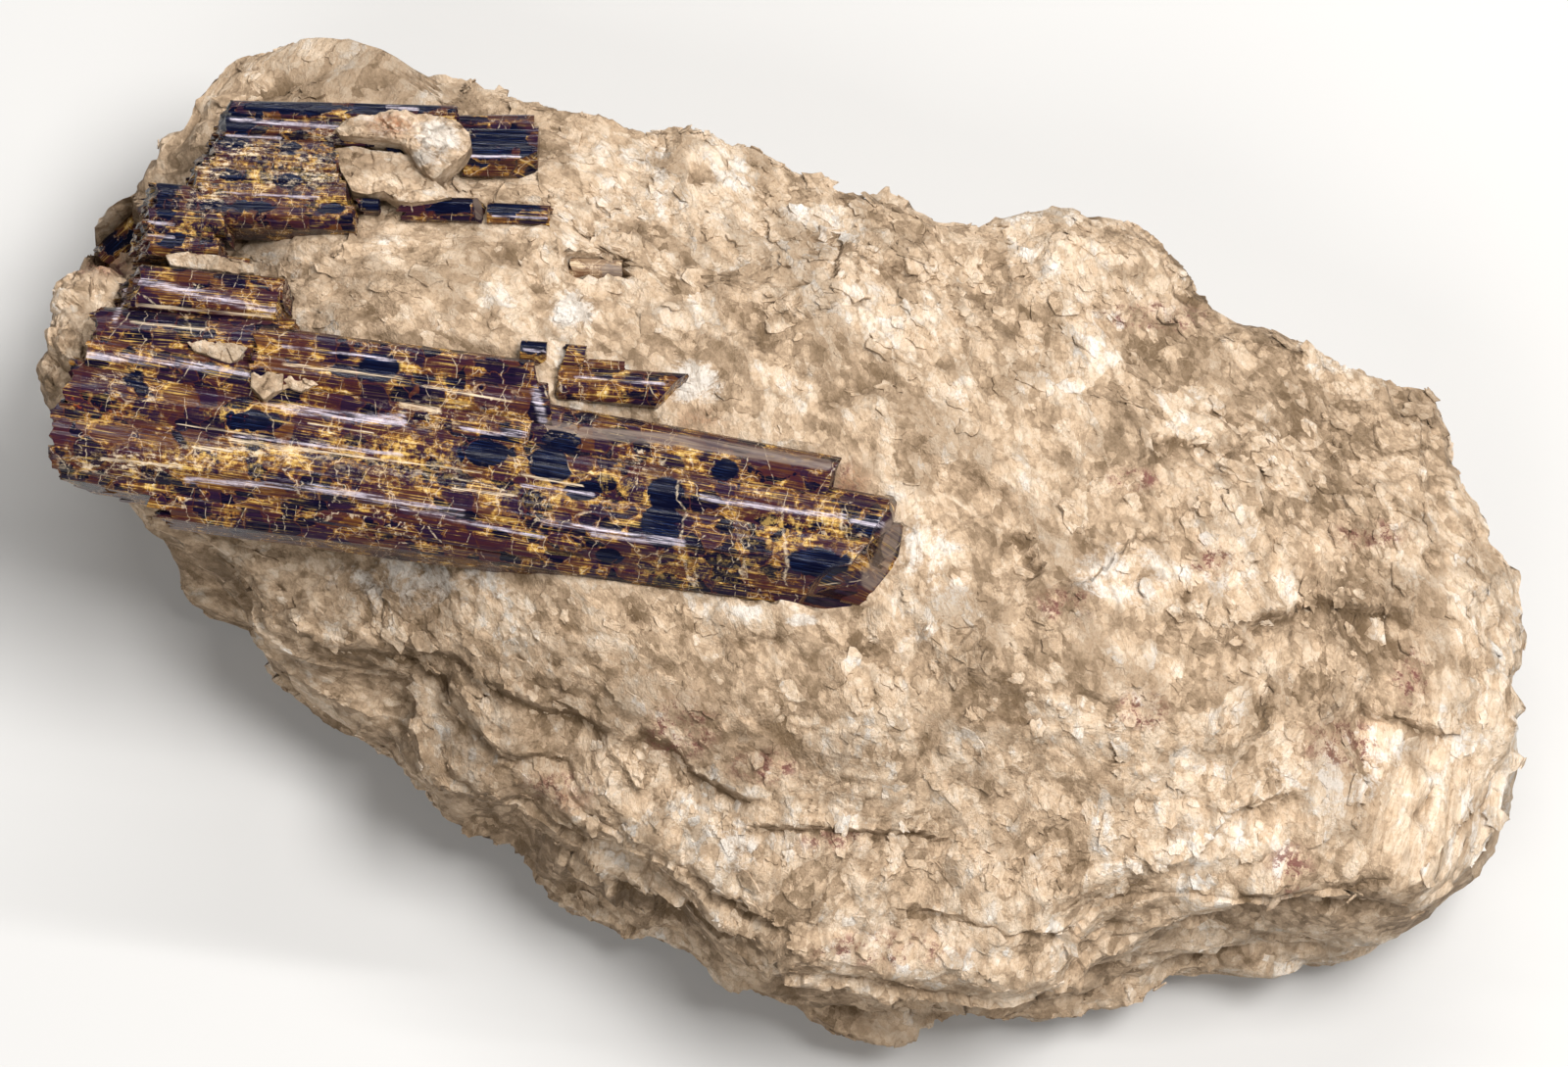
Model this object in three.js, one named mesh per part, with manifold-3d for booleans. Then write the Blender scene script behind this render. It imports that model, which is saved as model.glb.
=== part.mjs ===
// A hand specimen of rutile: long striated prisms grown side by side across a pale, flaky stone.
// Units are millimetres. +Z is up, +X runs along the stone's length, and it lies on its broken underside.
import * as THREE from "three";
import { mergeVertices } from "three/addons/utils/BufferGeometryUtils.js";
import Module from "manifold-3d";

const wasm = await Module();
wasm.setup();

// Driving dimensions
const PICTURE_SCALE = 0.075; // mm that one pixel of the photograph spans
const PICTURE_MIDDLE = [800, 544.5]; // pixel that the view is centred on
const VIEW_RISE = THREE.MathUtils.degToRad(70); // how steeply the photograph looks down
const VIEW_TURN = THREE.MathUtils.degToRad(24); // from the picture's width to the stone's length
const VIEW_LEVEL = 20; // height at the middle of the view
const STONE_HALF_LENGTH = 58;
const STONE_HALF_BREADTH = 34;
const SLAB_TOP = 9.5; // top of the lower layer that juts out along the front
const SOCKET_GAP = 0.3; // clearance between a crystal and the stone around it
const CRYSTAL_LIFT = 7; // how far the stone is cleared away above a bared crystal
const WALL_WANDER = 0.14; // radians that the outline drifts round the stone above and below its widest line
const ORIGIN_SHIFT = [1.1, 0.5]; // brings the middle of the whole specimen over the origin

// The plan position, at a height, of what the photograph shows at a pixel.
function fromPhoto([px, py], height) {
  const across = (px - PICTURE_MIDDLE[0]) * PICTURE_SCALE;
  const upward = (PICTURE_MIDDLE[1] - py) * PICTURE_SCALE;
  const away = (upward - (height - VIEW_LEVEL) * Math.cos(VIEW_RISE)) / Math.sin(VIEW_RISE);
  return new THREE.Vector3(
    across * Math.cos(VIEW_TURN) - away * Math.sin(VIEW_TURN),
    across * Math.sin(VIEW_TURN) + away * Math.cos(VIEW_TURN),
    height,
  );
}

// Noise: a fixed value from 0 to 1 for each lattice point, and the smooth field between them.
function latticeValue(i, j, k) {
  const wave = Math.sin(i * 127.1 + j * 311.7 + k * 74.7) * 43758.5453;
  return wave - Math.floor(wave);
}

function smoothNoise(x, y, z, size) {
  const [u, v, w] = [x / size, y / size, z / size];
  const [i, j, k] = [Math.floor(u), Math.floor(v), Math.floor(w)];
  const ease = (t) => t * t * (3 - 2 * t);
  const [a, b, c] = [ease(u - i), ease(v - j), ease(w - k)];
  const edge = (dj, dk) => THREE.MathUtils.lerp(
    latticeValue(i, j + dj, k + dk), latticeValue(i + 1, j + dj, k + dk), a);
  const face = (dk) => THREE.MathUtils.lerp(edge(0, dk), edge(1, dk), b);
  return THREE.MathUtils.lerp(face(0), face(1), c) * 2 - 1;
}

function roughNoise(x, y, z, size, octaves) {
  let sum = 0;
  for (let n = 0; n < octaves; n++) sum += smoothNoise(x, y, z, size / 2 ** n) / 2 ** n;
  return sum;
}

// Chipped planes: space is split into cells about one size across, each a plane of its own tilt.
function chippedPlanes(x, y, z, size) {
  const [u, v, w] = [x / size, y / size, z / size];
  const [i, j, k] = [Math.floor(u), Math.floor(v), Math.floor(w)];
  let nearest = Infinity;
  let height = 0;
  for (let di = -1; di <= 1; di++)
    for (let dj = -1; dj <= 1; dj++)
      for (let dk = -1; dk <= 1; dk++) {
        const [a, b, c] = [i + di, j + dj, k + dk];
        const du = u - (a + latticeValue(a, b, c));
        const dv = v - (b + latticeValue(a + 37, b, c));
        const dw = w - (c + latticeValue(a, b + 53, c));
        const distance = du * du + dv * dv + dw * dw;
        if (distance >= nearest) continue;
        nearest = distance;
        const tilt = (offset) => latticeValue(a + offset, b + offset, c) * 2 - 1;
        height = du * tilt(11) + dv * tilt(23) + dw * tilt(31) + 0.5 * tilt(47);
      }
  return height;
}

// The main stone's widest line, clockwise from its top left: pixel across, pixel down, height.
const BODY_OUTLINE = [
  [245, 75, 20], [295, 52, 22], [365, 50, 24], [430, 78, 26], [470, 88, 26], [505, 100, 26.5],
  [545, 110, 27], [600, 125, 27.5], [650, 137, 27.5], [740, 148, 27.5], [790, 165, 27.5],
  [845, 195, 27.5], [890, 203, 27.5], [950, 228, 27], [1000, 243, 27], [1050, 238, 26.5], [1110, 248, 26],
  [1135, 257, 25.5], [1170, 290, 25], [1200, 315, 24.5], [1255, 348, 24], [1285, 352, 23.5],
  [1350, 388, 22.5], [1400, 402, 21.5], [1445, 416, 20.5], [1457, 432, 20], [1465, 490, 19],
  [1478, 525, 18.5], [1500, 545, 18], [1515, 580, 17.5], [1528, 610, 17], [1535, 650, 16.5],
  [1531, 700, 16], [1541, 722, 16], [1533, 760, 15.5], [1525, 795, 15], [1505, 840, 14.5],
  [1480, 875, 14], [1450, 912, 13.5], [1415, 935, 13], [1385, 950, 13], [1320, 952, 13],
  [1250, 947, 13.5], [1200, 952, 13.5], [1130, 968, 13.5], [1060, 990, 13], [1000, 1003, 13],
  [930, 1004, 13], [860, 1000, 12.5], [790, 998, 12], [740, 983, 11], [690, 952, 10.5], [640, 928, 10],
  [600, 906, 10], [565, 884, 10], [540, 850, 10], [500, 838, 10], [455, 820, 10], [425, 786, 10],
  [400, 758, 10], [345, 735, 10], [300, 705, 10], [270, 678, 10], [262, 645, 10.5], [240, 612, 12],
  [200, 572, 15], [162, 532, 19], [132, 490, 22], [104, 450, 22], [82, 405, 19], [62, 350, 14],
  [64, 320, 14], [74, 285, 15], [84, 262, 16], [110, 232, 18], [140, 205, 19], [158, 178, 20],
  [180, 148, 20.5], [195, 122, 20], [215, 98, 20],
];

// The lower layer: it shows past the upright stone at the left and all along the front.
const SLAB_LEVEL = 5.5;
const SLAB_OUTLINE = [
  [172, 580], [176, 600], [192, 622], [225, 634], [252, 642], [290, 660], [400, 735], [540, 835],
  [660, 920], [740, 980], [790, 1005], [828, 1034], [860, 1045], [900, 1052], [958, 1044], [982, 1030],
  [1050, 1027], [1100, 1016], [1180, 1008], [1200, 998], [1245, 998], [1290, 1003], [1330, 985],
  [1365, 983], [1386, 972], [1402, 950], [1430, 880], [1460, 760], [1420, 620], [1280, 500], [1000, 420],
  [640, 330], [330, 290], [140, 320], [66, 345], [48, 366], [40, 386], [52, 404], [78, 430], [120, 490],
  [160, 545],
];

// Heights of the stone's top where it has no crystal: pixel across, pixel down, height.
const RELIEF = [
  [300, 85, 26.5], [380, 78, 27.5], [215, 135, 27], [165, 225, 25], [112, 300, 21], [90, 350, 19],
  [450, 112, 28.5], [350, 180, 32.5], [450, 180, 32.5], [300, 240, 34], [420, 290, 35.2],
  [520, 250, 34.8], [230, 320, 33], [240, 160, 31.5], [190, 240, 31], [140, 330, 30.5], [125, 400, 30],
  [160, 460, 29.5], [240, 505, 29.5], [540, 340, 34.6], [620, 220, 31.6], [650, 165, 30.6],
  [610, 300, 31.8], [690, 330, 32.2], [750, 210, 31], [760, 350, 33], [850, 290, 32.8], [850, 420, 34.2],
  [960, 480, 34], [950, 350, 33], [1050, 300, 30.8], [1100, 450, 32.4], [1200, 380, 29.4],
  [1250, 500, 31.2], [1350, 450, 27.4], [1400, 560, 28], [1300, 650, 30.4], [1450, 650, 25.5],
  [1200, 700, 31.4], [1350, 800, 27.4], [1480, 760, 22.5], [1250, 850, 26.6], [1100, 820, 29.2],
  [1000, 640, 33.4], [1060, 560, 31.8], [900, 700, 32], [800, 650, 33], [700, 630, 33], [560, 600, 32.6],
  [450, 580, 31.8], [430, 640, 30], [520, 700, 28.8], [650, 710, 30.6], [800, 790, 28.2],
  [950, 815, 27.6], [850, 890, 26.4], [1000, 900, 25.6], [700, 850, 24.2], [1150, 900, 23.6],
  [600, 790, 24], [500, 770, 20], [350, 620, 22.5], [310, 565, 26.5], [235, 560, 22], [185, 525, 22],
  [400, 710, 16], [900, 960, 20.5],
];
const RELIEF_REACH = 6.5;

// Hollows cut inwards: pixel, height, half sizes along the picture's width and across it, depth.
const HOLLOWS = [
  { at: [398, 700], height: 16, long: 5.5, short: 2.2, depth: 4.5 },
  { at: [480, 742], height: 19, long: 5, short: 2, depth: 2 },
  { at: [1265, 930], height: 15, long: 5, short: 2.2, depth: 3.5 },
  { at: [905, 1000], height: 14, long: 6, short: 2, depth: 2.5 },
  { at: [650, 880], height: 18, long: 7, short: 1.6, depth: 1.4 },
  { at: [900, 830], height: 28, long: 10, short: 2, depth: 1.2 },
];

const smoothStep = THREE.MathUtils.smoothstep;

// A closed line round a centre, as radius and height against the angle about it.
function polarLine(points, centre) {
  const line = points.map((p) => ({
    angle: Math.atan2(p.y - centre.y, p.x - centre.x),
    radius: Math.hypot(p.x - centre.x, p.y - centre.y),
    height: p.z,
  }));
  line.sort((a, b) => a.angle - b.angle);
  const [first, last] = [line[0], line[line.length - 1]];
  const turn = 2 * Math.PI;
  return [{ ...last, angle: last.angle - turn }, ...line, { ...first, angle: first.angle + turn }];
}

function readLine(line, angle) {
  let n = 1;
  while (n < line.length - 1 && line[n].angle < angle) n++;
  const [a, b] = [line[n - 1], line[n]];
  const share = (angle - a.angle) / (b.angle - a.angle);
  return {
    radius: THREE.MathUtils.lerp(a.radius, b.radius, share),
    height: THREE.MathUtils.lerp(a.height, b.height, share),
  };
}

const reliefSpots = RELIEF.map(([px, py, height]) => fromPhoto([px, py], height));

// The top's height in plan: the nearby relief heights, each weighted by its nearness.
function topHeight(x, y) {
  let [weights, sum] = [0, 0];
  for (const spot of reliefSpots) {
    const distance = ((x - spot.x) ** 2 + (y - spot.y) ** 2) / RELIEF_REACH ** 2;
    const weight = Math.exp(-distance) + 1e-4 / (1 + distance) ** 2;
    weights += weight;
    sum += weight * spot.z;
  }
  return sum / weights;
}

const hollowSpots = HOLLOWS.map((hollow) => ({ ...hollow, centre: fromPhoto(hollow.at, hollow.height) }));

function hollowDepth(p) {
  let depth = 0;
  for (const { centre, long, short, depth: deepest } of hollowSpots) {
    const [dx, dy, dz] = [p.x - centre.x, p.y - centre.y, p.z - centre.z];
    const along = dx * Math.cos(VIEW_TURN) + dy * Math.sin(VIEW_TURN);
    const rest = (dy * Math.cos(VIEW_TURN) - dx * Math.sin(VIEW_TURN)) ** 2 + dz * dz;
    depth += deepest * Math.exp(-((along / long) ** 2) - rest / short ** 2);
  }
  return depth;
}

// One layer of stone, from a box grid whose corners are blown out to its outline, top and underside.
function stoneLayer({ outline, top, grid, calm, crown }) {
  const centre = new THREE.Vector3(0, 0, 0);
  const line = polarLine(outline, centre);
  const geometry = new THREE.BoxGeometry(2, 2, 2, ...grid);
  const position = geometry.attributes.position;
  const even = (t) => Math.tan((t * Math.PI) / 4);
  for (let n = 0; n < position.count; n++) {
    const way = new THREE.Vector3(even(position.getX(n)), even(position.getY(n)), even(position.getZ(n)));
    way.normalize();
    const angle = Math.atan2(way.y * STONE_HALF_BREADTH, way.x * STONE_HALF_LENGTH);
    const wander = Math.abs(way.z) ** 0.5 * smoothNoise(way.x * 5, way.y * 5, way.z * 3, 1);
    const rim = readLine(line, angle + WALL_WANDER * wander);
    const level = Math.hypot(way.x, way.y);
    const p = new THREE.Vector3();
    if (way.z >= 0) {
      const reach = rim.radius * level ** crown;
      p.set(reach * Math.cos(angle), reach * Math.sin(angle), 0);
      p.z = THREE.MathUtils.lerp(rim.height, top(p.x, p.y), way.z ** 0.42);
    } else {
      const reach = rim.radius * level ** 0.35 * (1 - 0.05 * Math.abs(way.z));
      const drop = 1.15 * Math.abs(way.z) ** 0.55;
      p.set(reach * Math.cos(angle), reach * Math.sin(angle), rim.height * (1 - drop));
    }
    const side = level ** 4;
    const outward = new THREE.Vector3(side * Math.cos(angle), side * Math.sin(angle), way.z).normalize();
    const wall = 1 - Math.abs(outward.z);
    const ledges = smoothNoise(p.x, p.y, p.z * 3, 12) * wall;
    const lumps = 1.1 * roughNoise(p.x, p.y, p.z, 15, 2) + 1.3 * ledges;
    const facets = (0.8 + 0.5 * wall) * chippedPlanes(p.x, p.y, p.z, 10);
    const quiet = calm(p);
    p.addScaledVector(outward, (lumps + facets) * quiet - hollowDepth(p));
    const underside = 1.6 * smoothNoise(p.x + 90, p.y, 0, 16) - 0.9;
    if (way.z < 0 || p.z < 0) p.z = Math.max(p.z, 0, way.z < -0.6 ? underside : 0);
    position.setXYZ(n, p.x, p.y, p.z);
  }
  return solidOf(geometry);
}

function solidOf(geometry) {
  const bare = geometry.clone();
  for (const name of Object.keys(bare.attributes)) if (name !== "position") bare.deleteAttribute(name);
  const merged = mergeVertices(bare, 1e-4);
  return new wasm.Manifold(new wasm.Mesh({
    numProp: 3,
    vertProperties: new Float32Array(merged.attributes.position.array),
    triVerts: new Uint32Array(merged.index.array),
  }));
}

// Cross-section of a prism: across is towards the picture's top, and up is 0 at the ridge.
function prismSection(width, depth, ridge, grow) {
  const half = width / 2;
  const corners = [
    [-half, -0.36 * width], [-0.72 * half, -0.15 * width], [(ridge - 0.3) * half, -0.02 * width],
    [(ridge + 0.3) * half, 0], [0.78 * half, -0.13 * width], [half, -0.32 * width],
    [0.75 * half, -depth], [-0.8 * half, -0.95 * depth],
  ];
  const middle = new THREE.Vector2(0, -depth / 2);
  return corners.map(([a, b]) => {
    const out = new THREE.Vector2(a, b).sub(middle);
    return out.setLength(out.length() + grow).add(middle);
  });
}

// A section carried along a ridge. lean moves the foot of each end out, and skew turns the end across.
function carried(section, { from, to, height, lean = [0, 0], skew = [0, 0] }, grow) {
  const start = fromPhoto(from, height[0]);
  const end = fromPhoto(to, height[1]);
  const along = end.clone().sub(start);
  const length = along.length();
  along.normalize();
  const up = new THREE.Vector3(0, 0, 1).addScaledVector(along, -along.z).normalize();
  const across = new THREE.Vector3().crossVectors(up, along);
  const sweep = { depth: length, steps: 1, bevelEnabled: false };
  const geometry = new THREE.ExtrudeGeometry(new THREE.Shape(section), sweep);
  const position = geometry.attributes.position;
  for (let n = 0; n < position.count; n++) {
    const [a, b, c] = [position.getX(n), position.getY(n), position.getZ(n)];
    const shift = c < length / 2 ? lean[0] * b + skew[0] * a - grow : skew[1] * a - lean[1] * b + grow;
    position.setZ(n, c + shift);
  }
  geometry.applyMatrix4(new THREE.Matrix4().makeBasis(across, up, along).setPosition(start));
  return solidOf(geometry);
}

function prism(spec, grow = 0) {
  return carried(prismSection(...spec.size, spec.ridge ?? 0, grow), spec, grow);
}

// The room above a bared prism, down to its shoulders.
function headroom(spec) {
  const half = spec.size[0] / 2 + SOCKET_GAP;
  const [low, high] = [-0.3 * spec.size[0], CRYSTAL_LIFT];
  const corners = [[-half, low], [half, low], [half, high], [-half, high]];
  return carried(corners.map(([a, b]) => new THREE.Vector2(a, b)), spec, SOCKET_GAP);
}

// Cuts away everything on the far side of a face through a point.
function chop(solid, { at, height, facing }, grow) {
  const size = 40;
  const normal = new THREE.Vector3(...facing).normalize();
  const point = fromPhoto(at, height).addScaledVector(normal, size / 2 + grow);
  const box = new THREE.BoxGeometry(size, size, size);
  const turn = new THREE.Quaternion().setFromUnitVectors(new THREE.Vector3(0, 0, 1), normal);
  box.applyQuaternion(turn).translate(point.x, point.y, point.z);
  return solid.subtract(solidOf(box));
}

// A crystal: prisms grown together, with the faces of its termination.
function crystalSolid({ prisms, faces = [] }, grow = 0) {
  let solid = prisms.map((p) => prism(p, grow)).reduce((a, b) => a.add(b));
  for (const face of faces) solid = chop(solid, face, grow);
  return solid;
}

// The big crystal: a broad striated band along the front, steps behind it, and short blocks at its left.
const BIG_CRYSTAL = {
  prisms: [
    { from: [150, 497], to: [872, 596], height: [33.4, 33.4], size: [3.4, 4.6], lean: [0.2, 0.1] },
    { from: [104, 479], to: [560, 552], height: [33.8, 34.2], size: [2.2, 4], lean: [0.3, 0] },
    { from: [82, 463], to: [600, 545], height: [34.4, 34.8], size: [2.4, 4.6], lean: [0.3, 0] },
    { from: [64, 435], to: [912, 566], height: [35.4, 35.4], size: [6, 7], ridge: -0.2, lean: [0.15, 0] },
    { from: [84, 394], to: [906, 536], height: [35.6, 35.8], size: [4.8, 6.6], ridge: 0.1, lean: [0.3, 0] },
    { from: [98, 358], to: [420, 418], height: [35.8, 36.2], size: [3.6, 6], lean: [0.4, 0] },
    { from: [540, 432], to: [846, 490], height: [35.9, 35.9], size: [4.7, 6], ridge: 0.2, skew: [0, 0.15] },
    { from: [268, 372], to: [566, 412], height: [36.6, 36.8], size: [3.6, 6.6], skew: [0, -0.3] },
    { from: [272, 350], to: [552, 386], height: [36.9, 37.1], size: [3, 6.4], ridge: 0.3, skew: [0, -0.3] },
    { from: [112, 334], to: [306, 348], height: [35.9, 36.3], size: [3.7, 6], lean: [0.7, 0.1] },
    { from: [152, 299], to: [292, 312], height: [36.2, 36.4], size: [2.3, 5.6], lean: [0.7, 0.1] },
    { from: [156, 284], to: [298, 298], height: [36, 36.2], size: [2, 5.2], lean: [0.7, 0.1] },
  ],
  faces: [
    { at: [914, 556], height: 33, facing: [0.85, -0.2, 0.55] },
    { at: [900, 585], height: 34, facing: [0.45, -0.75, 0.45] },
    { at: [910, 524], height: 34.5, facing: [0.8, 0.55, 0.35] },
  ],
};

// Parallel thin prisms side by side, each broken off at its own length.
function blades({ count, first, last, firstEnd, lastEnd, height, size, ragged, seed, lean }) {
  const made = [];
  for (let n = 0; n < count; n++) {
    const share = count > 1 ? n / (count - 1) : 0;
    const jog = (offset) => (latticeValue(n, seed, offset) - 0.5) * 2;
    const between = (a, b, slack) => [
      THREE.MathUtils.lerp(a[0], b[0], share) + slack,
      THREE.MathUtils.lerp(a[1], b[1], share),
    ];
    const rise = 0.35 * jog(5);
    made.push({
      from: between(first, last, ragged[0] * jog(1)),
      to: between(firstEnd, lastEnd, ragged[1] * jog(2)),
      height: [height + rise, height + rise + 0.2 * jog(7)],
      size: [size[0] * (1 + 0.15 * jog(3)), size[1]],
      ridge: 0.3 * jog(4),
      lean: [lean, 0.1],
    });
  }
  return made;
}

const FAN_CRYSTAL = {
  prisms: [
    { from: [241, 112], to: [468, 119], height: [35, 34.8], size: [1.7, 4.4], ridge: 0.2, lean: [0.3, 0] },
    { from: [235, 129], to: [386, 137], height: [35.3, 35], size: [1.9, 4.6], ridge: -0.2, lean: [0.3, 0] },
    ...blades({
      count: 7, first: [225, 146], last: [196, 216], firstEnd: [346, 154], lastEnd: [364, 222],
      height: 35.1, size: [1.45, 4.4], ragged: [5, 7], seed: 3, lean: 0.3,
    }),
    ...blades({
      count: 5, first: [166, 198], last: [160, 250], firstEnd: [238, 204], lastEnd: [228, 255],
      height: 35, size: [1.35, 4.6], ragged: [2, 5], seed: 8, lean: 0.75,
    }),
  ],
};

const THIN_BLADE = {
  prisms: [{ from: [206, 265], to: [262, 272], height: [35.2, 35.4], size: [0.8, 2.2] }],
};

const UPPER_RIGHT_CRYSTAL = {
  prisms: [
    { from: [474, 148], to: [550, 150], height: [33.4, 33.4], size: [4.1, 4.6], ridge: -0.35 },
    { from: [470, 128], to: [546, 128], height: [33, 33], size: [1.9, 3.6], },
  ],
  faces: [
    { at: [553, 122], height: 32.6, facing: [0.75, 0.6, 0.25] },
    { at: [552, 168], height: 32, facing: [0.7, -0.65, 0.3] },
  ],
};

const LEFT_NEEDLE = {
  prisms: [{ from: [418, 213], to: [486, 214], height: [33.8, 34.5], size: [1.9, 2.2], lean: [0, 0.3] }],
};

const RIGHT_NEEDLE = {
  prisms: [{ from: [500, 217], to: [561, 220], height: [34.1, 34], size: [1.6, 2], lean: [0, 0.1] }],
};

const SIDE_CRYSTAL = {
  prisms: [
    { from: [574, 388], to: [688, 396], height: [35.2, 35.2], size: [2.7, 3.4], skew: [0, 0.85] },
    { from: [580, 364], to: [600, 366], height: [35, 35], size: [2, 2.8] },
    { from: [598, 374], to: [640, 377], height: [34.9, 34.9], size: [1.1, 2.4] },
  ],
};

const STUB_CRYSTAL = {
  prisms: [{ from: [536, 359], to: [562, 361], height: [35.6, 35.6], size: [1.8, 1.9] }],
  faces: [
    { at: [568, 361], height: 35, facing: [0.8, 0.45, 0.3] },
    { at: [568, 361], height: 35, facing: [0.8, -0.55, 0.3] },
  ],
};

const PALE_CRYSTAL = {
  prisms: [{ from: [584, 273], to: [636, 275], height: [32.3, 32.2], size: [1.7, 2.2] }],
};

const EDGE_CRYSTAL = {
  prisms: [{ from: [93, 262], to: [146, 214], height: [17.5, 19.5], size: [3.6, 5], ridge: 0.1 }],
};

const SMALL_CRYSTALS = {
  small_crystal_upper: {
    prisms: [{ from: [398, 154], to: [419, 155], height: [34.3, 34.3], size: [0.8, 1.8] }],
  },
  small_crystal_lower: {
    prisms: [{ from: [370, 210], to: [390, 211], height: [34.2, 34.2], size: [0.9, 1.8] }],
  },
};

const CRYSTALS = {
  big_crystal: BIG_CRYSTAL,
  fan_crystal: FAN_CRYSTAL,
  thin_blade: THIN_BLADE,
  upper_right_crystal: UPPER_RIGHT_CRYSTAL,
  left_needle: LEFT_NEEDLE,
  right_needle: RIGHT_NEEDLE,
  side_crystal: SIDE_CRYSTAL,
  stub_crystal: STUB_CRYSTAL,
  pale_crystal: PALE_CRYSTAL,
  edge_crystal: EDGE_CRYSTAL,
  ...SMALL_CRYSTALS,
};

// Stone that laps over the crystals at the upper left: pixel, height of its middle, half sizes.
const LAPS = [
  { at: [432, 146], height: 34.2, half: [3.6, 1.9, 1.7] },
  { at: [372, 134], height: 34.4, half: [3, 1, 1.5] },
  { at: [425, 186], height: 33.2, half: [3.6, 2.6, 1.9] },
];

function lapSolid({ at, height, half }) {
  const centre = fromPhoto(at, height);
  const lump = new THREE.SphereGeometry(1, 14, 9);
  const position = lump.attributes.position;
  for (let n = 0; n < position.count; n++) {
    const way = new THREE.Vector3().fromBufferAttribute(position, n);
    way.multiplyScalar(1 + 0.35 * chippedPlanes(way.x, way.y, way.z + height, 0.9));
    position.setXYZ(n, way.x, way.y, way.z);
  }
  lump.scale(...half).rotateZ(VIEW_TURN).translate(centre.x, centre.y, centre.z);
  return solidOf(lump);
}

// The stone's bed: both layers, cleared above the crystals, with a socket where each crystal sits.
function stoneSolid() {
  const nearCrystals = fromPhoto([330, 340], 35);
  const body = stoneLayer({
    outline: BODY_OUTLINE.map(([px, py, height]) => fromPhoto([px, py], height)),
    top: topHeight,
    crown: 0.62,
    grid: [29, 18, 7],
    calm: (p) => 0.35 + 0.65 * smoothStep(Math.hypot(p.x - nearCrystals.x, p.y - nearCrystals.y), 22, 40),
  });
  const slab = stoneLayer({
    outline: SLAB_OUTLINE.map(([px, py]) => fromPhoto([px, py], SLAB_LEVEL)),
    top: (x, y) => SLAB_TOP + 2 * smoothNoise(x, y, 0, 12),
    crown: 0.3,
    grid: [18, 12, 2],
    calm: () => 0.6,
  });
  let stone = body.add(slab);
  for (const crystal of Object.values(CRYSTALS)) {
    for (const spec of crystal.prisms) stone = stone.subtract(headroom(spec));
  }
  for (const lap of LAPS) stone = stone.add(lapSolid(lap));
  for (const crystal of Object.values(CRYSTALS)) stone = stone.subtract(crystalSolid(crystal, SOCKET_GAP));
  return stone.decompose().reduce((a, b) => (a.volume() > b.volume() ? a : b));
}

function namedMesh(name, solid, material) {
  const { vertProperties, triVerts } = solid.getMesh();
  const geometry = new THREE.BufferGeometry();
  geometry.setAttribute("position", new THREE.BufferAttribute(vertProperties, 3));
  geometry.setIndex(new THREE.BufferAttribute(triVerts, 1));
  geometry.computeVertexNormals();
  const mesh = new THREE.Mesh(geometry, material);
  mesh.name = name;
  return mesh;
}

const stoneFinish = new THREE.MeshStandardMaterial({ color: 0xc8a67e, roughness: 0.85, metalness: 0 });
const crystalFinish = new THREE.MeshStandardMaterial({ color: 0x4a2418, roughness: 0.18, metalness: 0.1 });
const paleFinish = new THREE.MeshStandardMaterial({ color: 0xa58a68, roughness: 0.5, metalness: 0 });

const specimen = new THREE.Group();
specimen.name = "rutile_specimen";
specimen.add(namedMesh("matrix", stoneSolid(), stoneFinish));
for (const [name, crystal] of Object.entries(CRYSTALS))
  specimen.add(namedMesh(name, crystalSolid(crystal), name === "pale_crystal" ? paleFinish : crystalFinish));
specimen.position.set(...ORIGIN_SHIFT, 0);

export default specimen;
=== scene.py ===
"""Looks of a rutile hand specimen: striated dark crystals lying across a pale, flaky stone."""

import logging
import math
from dataclasses import dataclass, field
from enum import Enum

import bpy
import numpy as np
from bpy.types import Material, Node, NodeTree, Object
from mathutils import Matrix, Vector


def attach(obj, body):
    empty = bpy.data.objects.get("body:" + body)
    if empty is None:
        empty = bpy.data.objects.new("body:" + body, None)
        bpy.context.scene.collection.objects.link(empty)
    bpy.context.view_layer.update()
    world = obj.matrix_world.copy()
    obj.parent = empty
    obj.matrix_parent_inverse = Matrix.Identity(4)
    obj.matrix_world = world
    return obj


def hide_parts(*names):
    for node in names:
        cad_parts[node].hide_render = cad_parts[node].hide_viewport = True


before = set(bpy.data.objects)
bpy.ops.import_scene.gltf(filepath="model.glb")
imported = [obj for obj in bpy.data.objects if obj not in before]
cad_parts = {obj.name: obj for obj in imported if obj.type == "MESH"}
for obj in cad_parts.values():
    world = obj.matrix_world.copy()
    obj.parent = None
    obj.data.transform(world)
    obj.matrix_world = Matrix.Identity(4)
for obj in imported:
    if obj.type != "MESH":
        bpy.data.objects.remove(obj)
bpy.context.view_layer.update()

log = logging.getLogger("specimen")
MM = 0.001
Array = np.ndarray
Socket = bpy.types.NodeSocket
Sockets = bpy.types.bpy_prop_collection
Pixel = tuple[float, float]
Colour = tuple[float, float, float]


class Body(Enum):
    """The bodies that pieces ride on."""

    ROOT = "root"


class Slot(Enum):
    """The record's material slots."""

    STONE = "stone"
    CRYSTAL = "crystal"
    PALE = "pale_crystal"


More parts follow.
